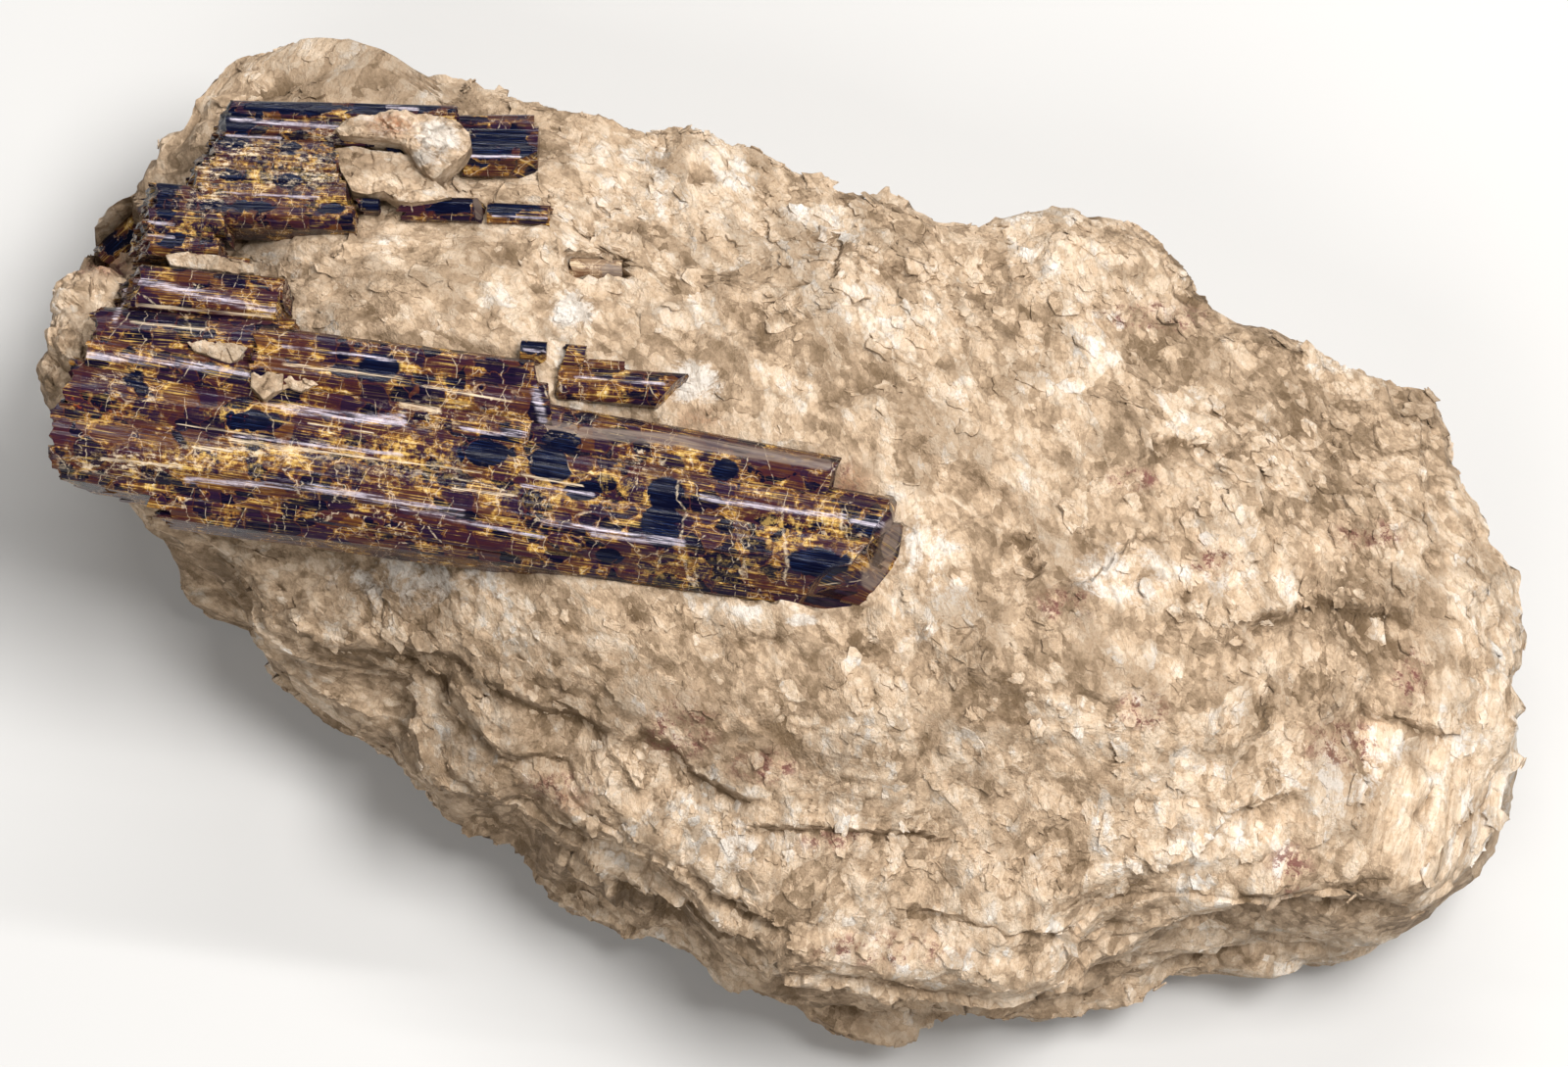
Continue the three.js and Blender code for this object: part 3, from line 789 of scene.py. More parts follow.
@dataclass(frozen=True)
class StoneFinish:
    """Dry, flaky tan stone with plates of three sizes, chalky, brown and purple-red patches, and painted
    shade and light.

    The colours are linear. flake_shade mixes in a shade of its own for each loose flake.
    """

    name: str
    plates: NodeTree
    tan: Colour = (0.55, 0.395, 0.26)
    cream: Colour = (0.7, 0.555, 0.41)
    # Darkest brown: stain, and the painted shade
    umber_and_shade: Colour = (0.15, 0.095, 0.05)
    chalk: Colour = (0.78, 0.725, 0.655)
    blush: Colour = (0.5, 0.25, 0.18)
    rose: Colour = (0.17, 0.062, 0.05)
    rust: Colour = (0.42, 0.2, 0.1)
    flake_shade: bool = False

    def patched(
        self, g: Graph, colour: Socket, place: Socket, masks: dict, mottle: Socket, grit: Socket
    ) -> Socket:
        """The stone's colour with its brown, chalky, rusty and purple-red patches, each with ragged edges.
        Some brown patches are painted shade, and one pale patch is painted light.

        Args:
            g: The material's graph.
            colour: The colour so far.
            place: Places in millimetres.
            masks: How strongly the patches cover the stone, by name.
            mottle: Noise a few millimetres across.
            grit: Noise of a fraction of a millimetre.

        Returns:
            The colour.
        """
        # Brown stain with ragged edges; where the brown patches lie on shaded walls, crevices and undersides
        # it is painted shade
        smear = g.noise(g.stretched(g.turned(place, -0.2), (0.3, 1.0, 1.4)), 0.55, 6.0, 0.7, 1.0)
        stain = g.total(masks["umber_and_shade"], (g.centred(smear, 0.53), 3.4))
        stain = g.times(g.span(stain, 0.4, 1.3, (0.0, 0.66)), g.span(masks["umber_and_shade"], 0.04, 0.4))
        colour = g.mix(stain, colour, self.umber_and_shade)
        uneven = g.total((g.centred(mottle), 2.6), g.centred(grit))
        # Chalky patches; the one under the big crystal is painted light
        pale = g.span(g.total(masks["pale"], uneven), 0.35, 0.8, (0.0, 0.75))
        colour = g.mix(g.times(pale, g.span(masks["pale"], 0.05, 0.35)), colour, self.chalk)
        rust = g.times(masks["rust"], g.span(g.total(mottle, grit), 0.8, 1.1))
        colour = g.mix(rust, colour, self.rust)
        speck = g.noise(place, 0.75, 6.0, 0.8)
        blush = g.times(g.span(speck, 0.42, 0.6, (0.0, 0.4)), masks["rose"])
        colour = g.mix(blush, colour, self.blush)
        deep = g.times(g.span(speck, 0.51, 0.58, (0.0, 0.95)), g.span(masks["rose"], 0.1, 0.6))
        return g.mix(deep, colour, self.rose)

    def build(self) -> Material:
        """The material: colour by zones and plates, bump by plates, lines and grit."""
        material, g = new_material(self.name)
        coordinates = g.add("TexCoord").outputs
        place = g.scaled(coordinates["Object"], 1 / MM)
        masks = {name: g.stored(name) for name in (*STONE_SPOTS, "hollow")}
        broad, small, tiny = [g.place_group(self.plates, {"Place": place, **sizes}) for sizes in PLATES]
        drift = g.noise(place, 0.06, 3.0, 0.6)
        mottle = g.noise(place, 0.34, 6.0, 0.68, 0.8)
        grit = g.noise(place, 2.6, 5.0, 0.75)
        crumbs = g.noise(place, 1.1, 6.0, 0.72)
        # Steep walls are darkened, more so towards the left: painted shade
        wall = g.span(g.total(g.parts(coordinates["Normal"])[2], (g.centred(mottle), 1.2)), 0.8, 0.3)
        wall = g.times(wall, g.span(g.parts(place)[0], 34.0, 8.0, (0.15, 1.0)))
        tone = g.total(
            (drift, 0.4),
            (mottle, 0.28),
            (crumbs, 0.45),
            (broad["Shade"], 0.2),
            (small["Shade"], 0.18),
            (g.centred(tiny["Shade"], 0.4), 0.2),
            (g.centred(grit), 0.3),
            (masks["smooth"], 0.06),
            # Darker in the low spots of the relief and under ledges: painted shade
            (masks["hollow"], -0.34),
            (wall, -0.12),
        )
        if self.flake_shade:
            tone = g.total(tone, (g.centred(g.stored("flake"), 0.4), 0.16))
        dusky = tuple(0.45 * a + 0.55 * b for a, b in zip(self.tan, self.umber_and_shade))
        stops = [(0.0, self.umber_and_shade), (0.2, dusky), (0.42, self.tan), (0.76, self.cream), (1.0, self.chalk)]
        colour = self.patched(g, g.ramp(g.span(tone, 0.38, 1.16), stops), place, masks, mottle, grit)
        colour = g.mix(g.span(broad["Line"], 0.32, 0.47, (0.45, 0.0)), colour, dusky)
        colour = g.mix(g.span(small["Line"], 0.34, 0.46, (0.42, 0.0)), colour, dusky)
        # Plate borders darkened towards the darkest brown: painted shadow lines at the flake edges
        border = g.math("MAXIMUM", broad["Border"], small["Border"])
        border = g.math("MAXIMUM", border, g.times(tiny["Border"], 0.5))
        colour = g.mix(g.times(border, 0.4), colour, self.umber_and_shade)
        height = g.total(broad["Height"], small["Height"], tiny["Height"], (crumbs, 0.3), (grit, 0.2))
        height = g.times(height, g.total(1.0, (masks["smooth"], -0.3)))
        rough = g.span(grit, 0.2, 0.8, (0.62, 0.86))
        g.surface(height, {"Base Color": colour, "Roughness": rough, "Specular IOR Level": 0.3})
        return material


# Patches that a crystal's surfaces store
CRYSTAL_MASKS = ("ink", "gold", "red_glint", "cells", "flecks")


@dataclass(frozen=True)
class CrystalFinish:
    """Glassy striated crystal: dark rounded cells in an amber and gold web, crossed by pale cracks.

    The colours are linear. Each surface reads its own grain (distance along, distance round and
    the prism's number), so that cells, streaks and striae follow the prism. Long lilac bands of
    painted highlight, cream lines, drawn cracks and dull facets with a painted grey-brown sheen are
    read as distances from strokes. Red-orange and gold specks are painted glints.
    """

    name: str
    amber: Colour = (0.25, 0.112, 0.02)
    russet: Colour = (0.085, 0.03, 0.01)
    maroon: Colour = (0.042, 0.01, 0.012)
    violet: Colour = (0.016, 0.006, 0.02)
    ink: Colour = (0.001, 0.0015, 0.01)
    navy: Colour = (0.02, 0.045, 0.14)
    gold: Colour = (0.54, 0.35, 0.095)
    cream: Colour = (0.66, 0.52, 0.36)
    # Red-orange of the painted glints
    red_glint: Colour = (0.34, 0.05, 0.006)
    # Colour of the painted highlights
    lilac: Colour = (0.6, 0.53, 0.6)
    # Grey-brown of the painted sheen on smooth facets
    grey: Colour = (0.17, 0.125, 0.1)
    roughness: float = 0.15

    def patterns(self, g: Graph) -> dict:
        """The noises and cells that the colours are mixed from, by name.

        Args:
            g: The material's graph.

        Returns:
            The grain, clouds and fine noise, streaks of three widths along the grain, a slow bend,
            the distance from the net between cells, and each cell's own numbers.
        """
        grain = g.stored("grain", "Vector")
        found = {"grain": grain, "cloud": g.noise(grain, 0.4, 5.0, 0.68)}
        found["fine"] = g.noise(grain, 2.4, 4.0, 0.72)
        found["jitter"] = g.centred(found["fine"])
        found["streak"] = g.noise(g.stretched(grain, (0.2, 3.0, 1.0)), 1.0, 5.0, 0.7)
        found["thread"] = g.noise(g.stretched(grain, (0.22, 9.0, 1.0)), 1.0, 2.0, 0.6)
        found["hair"] = g.noise(g.stretched(grain, (0.3, 15.0, 1.0)), 1.0, 2.0, 0.6)
        found["bend"] = g.noise_vector(grain, 0.8, 2.0)
        squeezed = g.stretched(g.vector("ADD", grain, g.scaled(found["bend"], 0.85)), (0.48, 0.68, 1.0))
        found["net"] = g.cells(squeezed, "DISTANCE_TO_EDGE", random=0.85)["Distance"]
        found["cell"] = g.parts(g.cells(squeezed, random=0.85)["Color"])
        return found

    def web(self, g: Graph, found: dict, masks: dict) -> Socket:
        """The colour of the dark cells and of the amber and gold web between them, with painted gold glints.

        Args:
            g: The material's graph.
            found: The patterns by name.
            masks: How strongly patches cover the crystal, by name.

        Returns:
            The colour.
        """
        cloud, streak, thread = found["cloud"], found["streak"], found["thread"]
        gilded = g.total(cloud, (masks["gold"], 0.1))
        ragged = g.total(found["net"], (found["jitter"], 0.1))
        inner = g.span(g.math("DIVIDE", ragged, g.span(gilded, 0.45, 0.68, (0.03, 0.34))), 0.4, 1.0)
        shade = g.total(found["cell"][0], (g.centred(streak), 0.8), (g.centred(cloud), 0.6))
        shade = g.centred(g.total(shade, (masks["cells"], -0.24)), 0.11)
        colours = (self.ink, self.violet, self.maroon, self.russet, self.amber)
        dark = g.ramp(shade, list(zip((0.0, 0.3, 0.6, 0.85, 1.1), colours)))
        sheen = g.total((streak, 0.7), (found["fine"], 0.7), (g.centred(gilded, 0.58), 0.9))
        colours = (self.maroon, self.russet, self.amber, self.gold, self.cream)
        gilt = g.ramp(g.span(sheen, 0.49, 0.96), list(zip((0.0, 0.34, 0.6, 0.9, 1.0), colours)))
        colour = g.mix(inner, gilt, dark)
        colour = g.mix(g.span(thread, 0.46, 0.38, (0.0, 0.75)), colour, self.violet)
        bright = g.times(g.span(thread, 0.56, 0.66, (0.0, 0.7)), g.span(cloud, 0.42, 0.58, (0.1, 1.0)))
        colour = g.mix(bright, colour, self.gold)
        # Gold specks in the gold patches: painted glints
        glint = g.times(g.span(g.noise(found["grain"], 1.6, 5.0, 0.8), 0.5, 0.6), masks["gold"])
        return g.mix(g.times(glint, 0.8), colour, self.gold)

    def patched(self, g: Graph, colour: Socket, found: dict, masks: dict) -> tuple[Socket, Socket]:
        """The colour with ink-dark patches, cream flecks and red-orange specks of painted glint.

        Args:
            g: The material's graph.
            colour: The colour so far.
            found: The patterns by name.
            masks: How strongly patches cover the crystal, by name.

        Returns:
            The colour, and the share of ink in it.
        """
        own, cloud = g.centred(found["cell"][2]), g.centred(found["cloud"])
        edge = g.total(masks["ink"], (own, 0.7), (cloud, 1.0), (found["jitter"], 0.5))
        inked = g.times(g.span(edge, 0.28, 0.42), g.span(masks["ink"], 0.04, 0.2))
        colour = g.mix(inked, colour, self.ink)
        colour = g.mix(g.times(inked, g.span(found["hair"], 0.54, 0.68, (0.0, 0.4))), colour, self.navy)
        chips = g.noise(g.stretched(found["grain"], (0.9, 2.2, 1.0)), 1.0, 5.0, 0.78)
        fleck = g.times(g.span(chips, 0.52, 0.6), masks["flecks"])
        colour = g.mix(g.times(fleck, 0.85), colour, self.cream)
        # Red-orange specks in the marked patches: painted glints
        glow = g.span(g.noise(found["grain"], 3.6, 2.0, 0.6), 0.58, 0.74, (0.0, 0.6))
        return g.mix(g.times(masks["red_glint"], glow), colour, self.red_glint), inked

    def cracks(self, g: Graph, found: dict, inked: Socket, reach: Socket) -> Socket:
        """How strongly pale cracks show: long partings, the brightest of the net, and the drawn ones.

        Args:
            g: The material's graph.
            found: The patterns by name.
            inked: The share of ink, which hides them.
            reach: Distance from the drawn cracks, in half widths.

        Returns:
            The share.
        """
        crossing = g.stretched(g.vector("ADD", found["grain"], g.scaled(found["bend"], 0.5)), (0.3, 0.1, 1.0))
        crossing = g.cells(crossing, "DISTANCE_TO_EDGE")["Distance"]
        healed = g.times(g.span(crossing, 0.011, 0.004), g.span(found["fine"], 0.42, 0.56, (0.0, 0.45)))
        rim = g.times(g.span(found["net"], 0.02, 0.005), g.span(found["cloud"], 0.46, 0.6, (0.0, 0.4)))
        healed = g.times(g.math("MAXIMUM", healed, rim), g.math("SUBTRACT", 1.0, inked))
        drawn = g.span(g.total(reach, (found["jitter"], 2.6)), 1.1, 0.4)
        drawn = g.times(drawn, g.span(found["fine"], 0.36, 0.6, (0.0, 0.65)))
        return g.math("MAXIMUM", healed, drawn)

    def build(self) -> Material:
        """The material: colours by cells, streaks and strokes, bump by striae and fine noise."""
        material, g = new_material(self.name)
        masks = {name: g.stored(name) for name in CRYSTAL_MASKS}
        reach = {name: g.stored(name) for name in STROKES}
        found = self.patterns(g)
        fine, streak, hair = found["fine"], found["streak"], found["hair"]
        colour, inked = self.patched(g, self.web(g, found, masks), found, masks)
        healed = self.cracks(g, found, inked, reach["crack"])
        colour = g.mix(healed, colour, self.cream)
        fray = g.times(g.centred(found["thread"]), 3.0)
        lines = g.span(g.total(reach["line"], fray), 1.5, 0.5)
        colour = g.mix(g.times(lines, g.span(hair, 0.4, 0.58, (0.0, 0.9))), colour, self.cream)
        # Lilac bands along the drawn strokes: painted highlights where the ridges catch the light
        painted_highlight = g.span(g.total(reach["painted_highlight"], fray), 1.3, 0.4)
        painted_highlight = g.times(painted_highlight, g.span(streak, 0.44, 0.54, (0.05, 0.95)))
        painted_highlight = g.times(painted_highlight, g.span(hair, 0.4, 0.6, (0.4, 1.0)))
        painted_highlight = g.times(painted_highlight, g.span(fine, 0.3, 0.55, (0.45, 1.0)))
        colour = g.mix(painted_highlight, colour, self.lilac)
        # Grey-brown on the smooth facets is painted sheen; there the striae are lower and the finish rougher
        facet_sheen = g.span(reach["facet_sheen"], 1.3, 0.8)
        colour = g.mix(g.times(facet_sheen, g.span(streak, 0.35, 0.6, (0.25, 0.85))), colour, self.grey)
        striae = g.noise(g.stretched(found["grain"], (0.1, 5.5, 1.0)), 1.0, 3.0, 0.7)
        height = g.times(g.times(striae, 0.035), g.total(1.0, (facet_sheen, -0.8)))
        height = g.total(height, (fine, 0.008))
        rough = g.span(found["cloud"], 0.35, 0.7, (self.roughness - 0.06, self.roughness + 0.12))
        rough = g.total(rough, (g.math("MAXIMUM", healed, facet_sheen), 0.2))
        g.surface(height, {"Base Color": colour, "Roughness": rough, "IOR": 1.55, "Specular IOR Level": 0.22})
        return material


@dataclass
class Crystal:
    """A crystal of striated prisms grown together, with the flat faces that end it."""

    node: str
    prisms: list[Prism]
    faces: list[EndFace] = field(default_factory=list)
    slot: Slot = Slot.CRYSTAL
    around: int = 120
    row_step: float = 0.22
    per_piece: int = 3
    grain_scale: float = 1.0
    stria_pitch: float = 0.3
    stria_height: float = 0.055
    ink: list[Spot] = field(default_factory=list)
    gold: list[Spot] = field(default_factory=list)
    red_glint: list[Spot] = field(default_factory=list)
    cells: list[Spot] = field(default_factory=list)
    flecks: list[Spot] = field(default_factory=list)

    def section(self, prism: Prism) -> tuple[Array, Array, Array]:
        """The outline of a prism across its ridge.

        The corners are those of the solid, joined by straight lines and read at steps that are
        shorter on the part that shows.

        Args:
            prism: The prism.

        Returns:
            Points (across, up), their distance round the outline, and their outward directions.
        """
        half, width, depth, ridge = prism.size[0] / 2, prism.size[0], prism.size[1], prism.ridge
        corners = np.array(
            [
                (-0.8 * half, -0.95 * depth),
                (-half, -0.36 * width),
                (-0.72 * half, -0.15 * width),
                ((ridge - 0.3) * half, -0.02 * width),
                ((ridge + 0.3) * half, 0.0),
                (0.78 * half, -0.13 * width),
                (half, -0.32 * width),
                (0.75 * half, -depth),
            ]
        )[::-1]
        closed, reach = closed_run(corners)
        steps = np.linspace(0, reach[-1], 601)
        weight = np.where(np.interp(steps, reach, closed[:, 1]) > -0.5 * width, 1.0, 0.3)
        filled = np.concatenate([[0], np.cumsum((weight[1:] + weight[:-1]) / 2)])
        round_way = np.interp(np.linspace(0, filled[-1], self.around, endpoint=False), filled, steps)
        outline = np.stack([np.interp(round_way, reach, closed[:, axis]) for axis in (0, 1)], axis=1)
        following = np.roll(outline, -1, axis=0) - np.roll(outline, 1, axis=0)
        normal = np.stack([following[:, 1], -following[:, 0]], axis=1)
        normal /= np.linalg.norm(normal, axis=1, keepdims=True)
        return outline, round_way, normal

    def end_runs(self, prism: Prism, across: Array, up: Array, mark: float) -> tuple[Array, Array]:
        """Where the prism begins and ends along its ridge, for points of its section.

        The ends lean and skew with the section, broken ends step with chipped planes, and the
        crystal's end faces cut the far end.

        Args:
            prism: The prism.
            across: Distances across the ridge.
            up: Distances above the ridge.
            mark: Number that tells this prism's breaks from the others'.

        Returns:
            The first and the last distance along the ridge.
        """
        start, along, side, lift, length = prism.axes()
        flat = np.stack([across.ravel(), up.ravel(), np.full(across.size, mark)], axis=1)
        breaks = chipped_planes(flat, 0.8)[0].reshape(across.shape)
        first = prism.lean[0] * up + prism.skew[0] * across + prism.ragged[0] * breaks
        last = length + prism.skew[1] * across - prism.lean[1] * up + prism.ragged[1] * breaks
        for face in self.faces:
            point, normal = face.plane()
            slope = float(normal @ along)
            offset = (point - start) @ normal - across * (side @ normal) - up * (lift @ normal)
            if slope > 0.05:
                last = np.minimum(last, offset / slope)
        return first, np.maximum(last, first + 0.05)

    def surface(self, prism: Prism, mark: float) -> tuple[Array, list, Array]:
        """A prism's closed surface: its section carried along the ridge, with both ends closed.

        Striae are a noise stretched along the ridge, added along the section's normal.

        Args:
            prism: The prism.
            mark: Number that tells this prism from the others.

        Returns:
            Vertices, faces, and each vertex's distance along, distance round and mark.
        """
        start, along, side, lift, length = prism.axes()
        outline, round_way, normal = self.section(prism)
        middle = np.array([0.0, -0.45 * prism.size[1]])
        rows = max(6, int(length / self.row_step))
        shrink = np.array([0.08, 0.35, 0.62, 0.84, 0.96])
        size = np.concatenate([shrink, np.ones(rows), shrink[::-1]])
        share = np.concatenate([np.zeros(len(shrink)), np.linspace(0, 1, rows), np.ones(len(shrink))])
        flat = middle + (outline - middle) * size[:, None, None]
        first, last = self.end_runs(prism, flat[..., 0], flat[..., 1], mark)
        run = first + (last - first) * share[:, None]
        way = np.broadcast_to(round_way, run.shape)
        capped = (size < 1)[:, None]
        lengthwise = np.where(capped, 0.6 * flat[..., 1], run)
        crosswise = np.where(capped, flat[..., 0], way)
        grain = np.stack([lengthwise + 23 * mark, crosswise + 7 * mark, np.full(run.shape, mark)], axis=-1)
        flat_grain = grain.reshape(-1, 3)
        ridges = smooth_noise(flat_grain, self.stria_pitch, (0.045, 1, 1))
        ridges += 0.6 * smooth_noise(flat_grain + 31, 2.4 * self.stria_pitch, (0.05, 1, 1))
        steps = np.round(1.3 * smooth_noise(flat_grain + 57, 5 * self.stria_pitch, (0.09, 1, 1)) * 2) / 2
        relief = (self.stria_height * (ridges + steps)).reshape(run.shape) * (size == 1)[:, None]
        across = flat[..., 0] + normal[:, 0] * relief
        up = flat[..., 1] + normal[:, 1] * relief
        points = start + run[..., None] * along + across[..., None] * side + up[..., None] * lift
        vertices, faces = closed_tube(points.reshape(-1, 3), self.around)
        return vertices, faces, np.vstack([flat_grain, flat_grain[:1], flat_grain[-1:]])

    def build(self, material: Material) -> None:
        """Makes the crystal in place of its node, in pieces of a few prisms each.

        Args:
            material: Its finish.
        """
        surfaces = [self.surface(prism, n + 1.0 + len(self.node)) for n, prism in enumerate(self.prisms)]
        for part in range(0, len(surfaces), self.per_piece):
            self.join(surfaces[part : part + self.per_piece], part // self.per_piece, material)

    def join(self, surfaces: list[tuple], number: int, material: Material) -> None:
        """Joins some prisms' surfaces into one piece and gives it its values.

        Args:
            surfaces: Each one's vertices, faces and grain.
            number: The piece's number in the crystal.
            material: Its finish.
        """
        offsets = np.cumsum([0] + [len(points) for points, _, _ in surfaces])
        everything = np.vstack([points for points, _, _ in surfaces])
        quads = np.vstack([faces[0] + offset for (_, faces, _), offset in zip(surfaces, offsets)])
        triangles = np.vstack([faces[1] + offset for (_, faces, _), offset in zip(surfaces, offsets)])
        name = f"{self.node}_form_{number + 1}" if len(self.prisms) > self.per_piece else f"{self.node}_form"
        piece = make_piece(name, everything, [quads, triangles], 50.0)
        set_values(piece, "grain", np.vstack([grain for _, _, grain in surfaces]) * self.grain_scale)
        for key in CRYSTAL_MASKS:
            set_values(piece, key, painted(everything, getattr(self, key)))
        for key, strokes in STROKES.items():
            set_values(piece, key, stroke_reach(everything, strokes, 5.0 if key == "crack" else 0.6))
        piece.data.materials.append(material)
        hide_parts(self.node)
        log.info("%s: %d triangles", piece.name, 2 * len(quads) + len(triangles))


BIG = Crystal(
    "big_crystal",
    [
        Prism((176, 501), (872, 596), (33.4, 33.4), (3.4, 4.6), lean=(-0.2, 0.1), ragged=(1.3, 0.1)),
        Prism((124, 482), (560, 552), (33.8, 34.2), (2.2, 4.0), lean=(-0.3, 0), ragged=(1.3, 0.8)),
        Prism((92, 464), (600, 545), (34.4, 34.8), (2.4, 4.6), lean=(-0.3, 0), ragged=(1.0, 0.8)),
        Prism((68, 435), (912, 566), (35.4, 35.4), (6.6, 7.0), ridge=-0.2, lean=(-0.45, 0), ragged=(0.6, 0)),
        Prism((84, 394), (906, 536), (35.6, 35.8), (5.6, 6.6), ridge=0.1, lean=(-0.1, 0), ragged=(0.6, 0)),
        Prism((104, 358), (548, 440), (35.8, 36.0), (3.6, 6.0), lean=(-0.1, 0), ragged=(0.4, 0.15)),
        Prism((540, 432), (846, 490), (35.9, 35.9), (4.7, 6.0), ridge=0.2, skew=(0, 0.15)),
        Prism((268, 372), (566, 412), (36.6, 36.8), (3.6, 6.6), skew=(0, -0.3)),
        Prism((272, 350), (552, 386), (36.9, 37.1), (3.0, 6.4), ridge=0.3, skew=(0, -0.3)),
        Prism((112, 334), (306, 348), (35.9, 36.3), (3.7, 6.0), lean=(0.0, 0.1)),
        Prism((152, 299), (292, 312), (36.2, 36.4), (2.3, 5.6), lean=(0.45, 0.1)),
        Prism((156, 284), (298, 298), (36.0, 36.2), (2.0, 5.2), lean=(0.45, 0.1)),
    ],
    [
        EndFace((914, 556), 33.0, (0.85, -0.2, 0.55)),
        EndFace((900, 585), 34.0, (0.45, -0.75, 0.45)),
        EndFace((910, 524), 34.5, (0.8, 0.55, 0.35)),
    ],
    ink=spot_rows(
        (505, 464, 25, 15), (580, 452, 26, 14), (563, 478, 22, 16), (682, 508, 16, 16),
        (678, 542, 22, 24), (832, 574, 28, 15), (394, 378, 18, 13), (741, 481, 11, 9),
        (150, 391, 11, 8), (625, 566, 14, 8), (262, 432, 20, 10), (600, 503, 16, 8),
        (884, 538, 20, 9, 0.8),
    ),
    gold=spot_rows(
        (250, 425, 26, 8), (420, 470, 60, 26, 0.7), (600, 500, 90, 18, 0.5), (810, 540, 50, 26, 0.7),
        (240, 470, 120, 14, 0.7), (720, 580, 70, 14, 0.4),
    ),
    red_glint=spot_rows((98, 414, 16, 12), (132, 424, 18, 12), (125, 350, 16, 10, 0.7), (250, 430, 16, 7, 0.5)),
    flecks=spot_rows(
        (150, 475, 70, 12), (280, 462, 90, 12, 0.8), (450, 425, 50, 14, 0.7), (130, 390, 26, 6, 0.7),
        (420, 480, 60, 12, 0.5), (655, 470, 24, 18, 0.8), (590, 440, 30, 10, 0.6),
        (880, 560, 10, 26, 0.5),
    ),
    cells=spot_rows(
        (720, 530, 210, 80), (470, 480, 110, 60, 0.8), (190, 335, 90, 26), (110, 420, 50, 30, 1.6),
        (450, 380, 110, 30, 0.6),
    ),
)

FAN = Crystal(
    "fan_crystal",
    [
        Prism((241, 112), (468, 119), (35.0, 34.8), (1.7, 4.4), ridge=0.2, lean=(0.3, 0), ragged=(0.3, 0.2)),
        Prism((235, 129), (386, 137), (35.3, 35.0), (1.9, 4.6), ridge=-0.2, lean=(0.3, 0), ragged=(0.3, 0.2)),
        *blades(7, (225, 146), (196, 216), (346, 154), (364, 222), 35.1, (1.95, 4.4), (5, 7), 3, 0.3),
        *blades(5, (166, 198), (160, 250), (238, 204), (228, 255), 35.0, (1.8, 4.6), (2, 5), 8, 0.35),
    ],
    around=90,
    row_step=0.2,
    stria_pitch=0.25,
    stria_height=0.06,
    per_piece=20,
    grain_scale=1.5,
    cells=spot_rows((290, 190, 90, 30, 0.6), (240, 148, 24, 10), (210, 225, 60, 40, 0.6)),
    ink=spot_rows(
        (246, 128, 22, 12), (300, 112, 60, 8), (400, 112, 60, 7), (178, 205, 12, 22, 0.7),
        (300, 188, 13, 8), (241, 148, 16, 7), (299, 154, 12, 6), (240, 183, 15, 7, 0.8),
        (228, 211, 20, 7, 0.8), (268, 215, 22, 7, 0.8), (345, 217, 14, 6, 0.7), (186, 248, 18, 8, 0.7),
    ),
    gold=spot_rows((290, 175, 70, 28, 0.4), (340, 212, 24, 9), (200, 238, 40, 10, 0.6)),
    flecks=spot_rows(
        (258, 156, 40, 10), (225, 175, 24, 16), (215, 205, 22, 12, 0.9), (320, 178, 40, 20, 0.9),
        (280, 190, 50, 8, 0.7), (340, 140, 24, 8, 0.7),
    ),
)

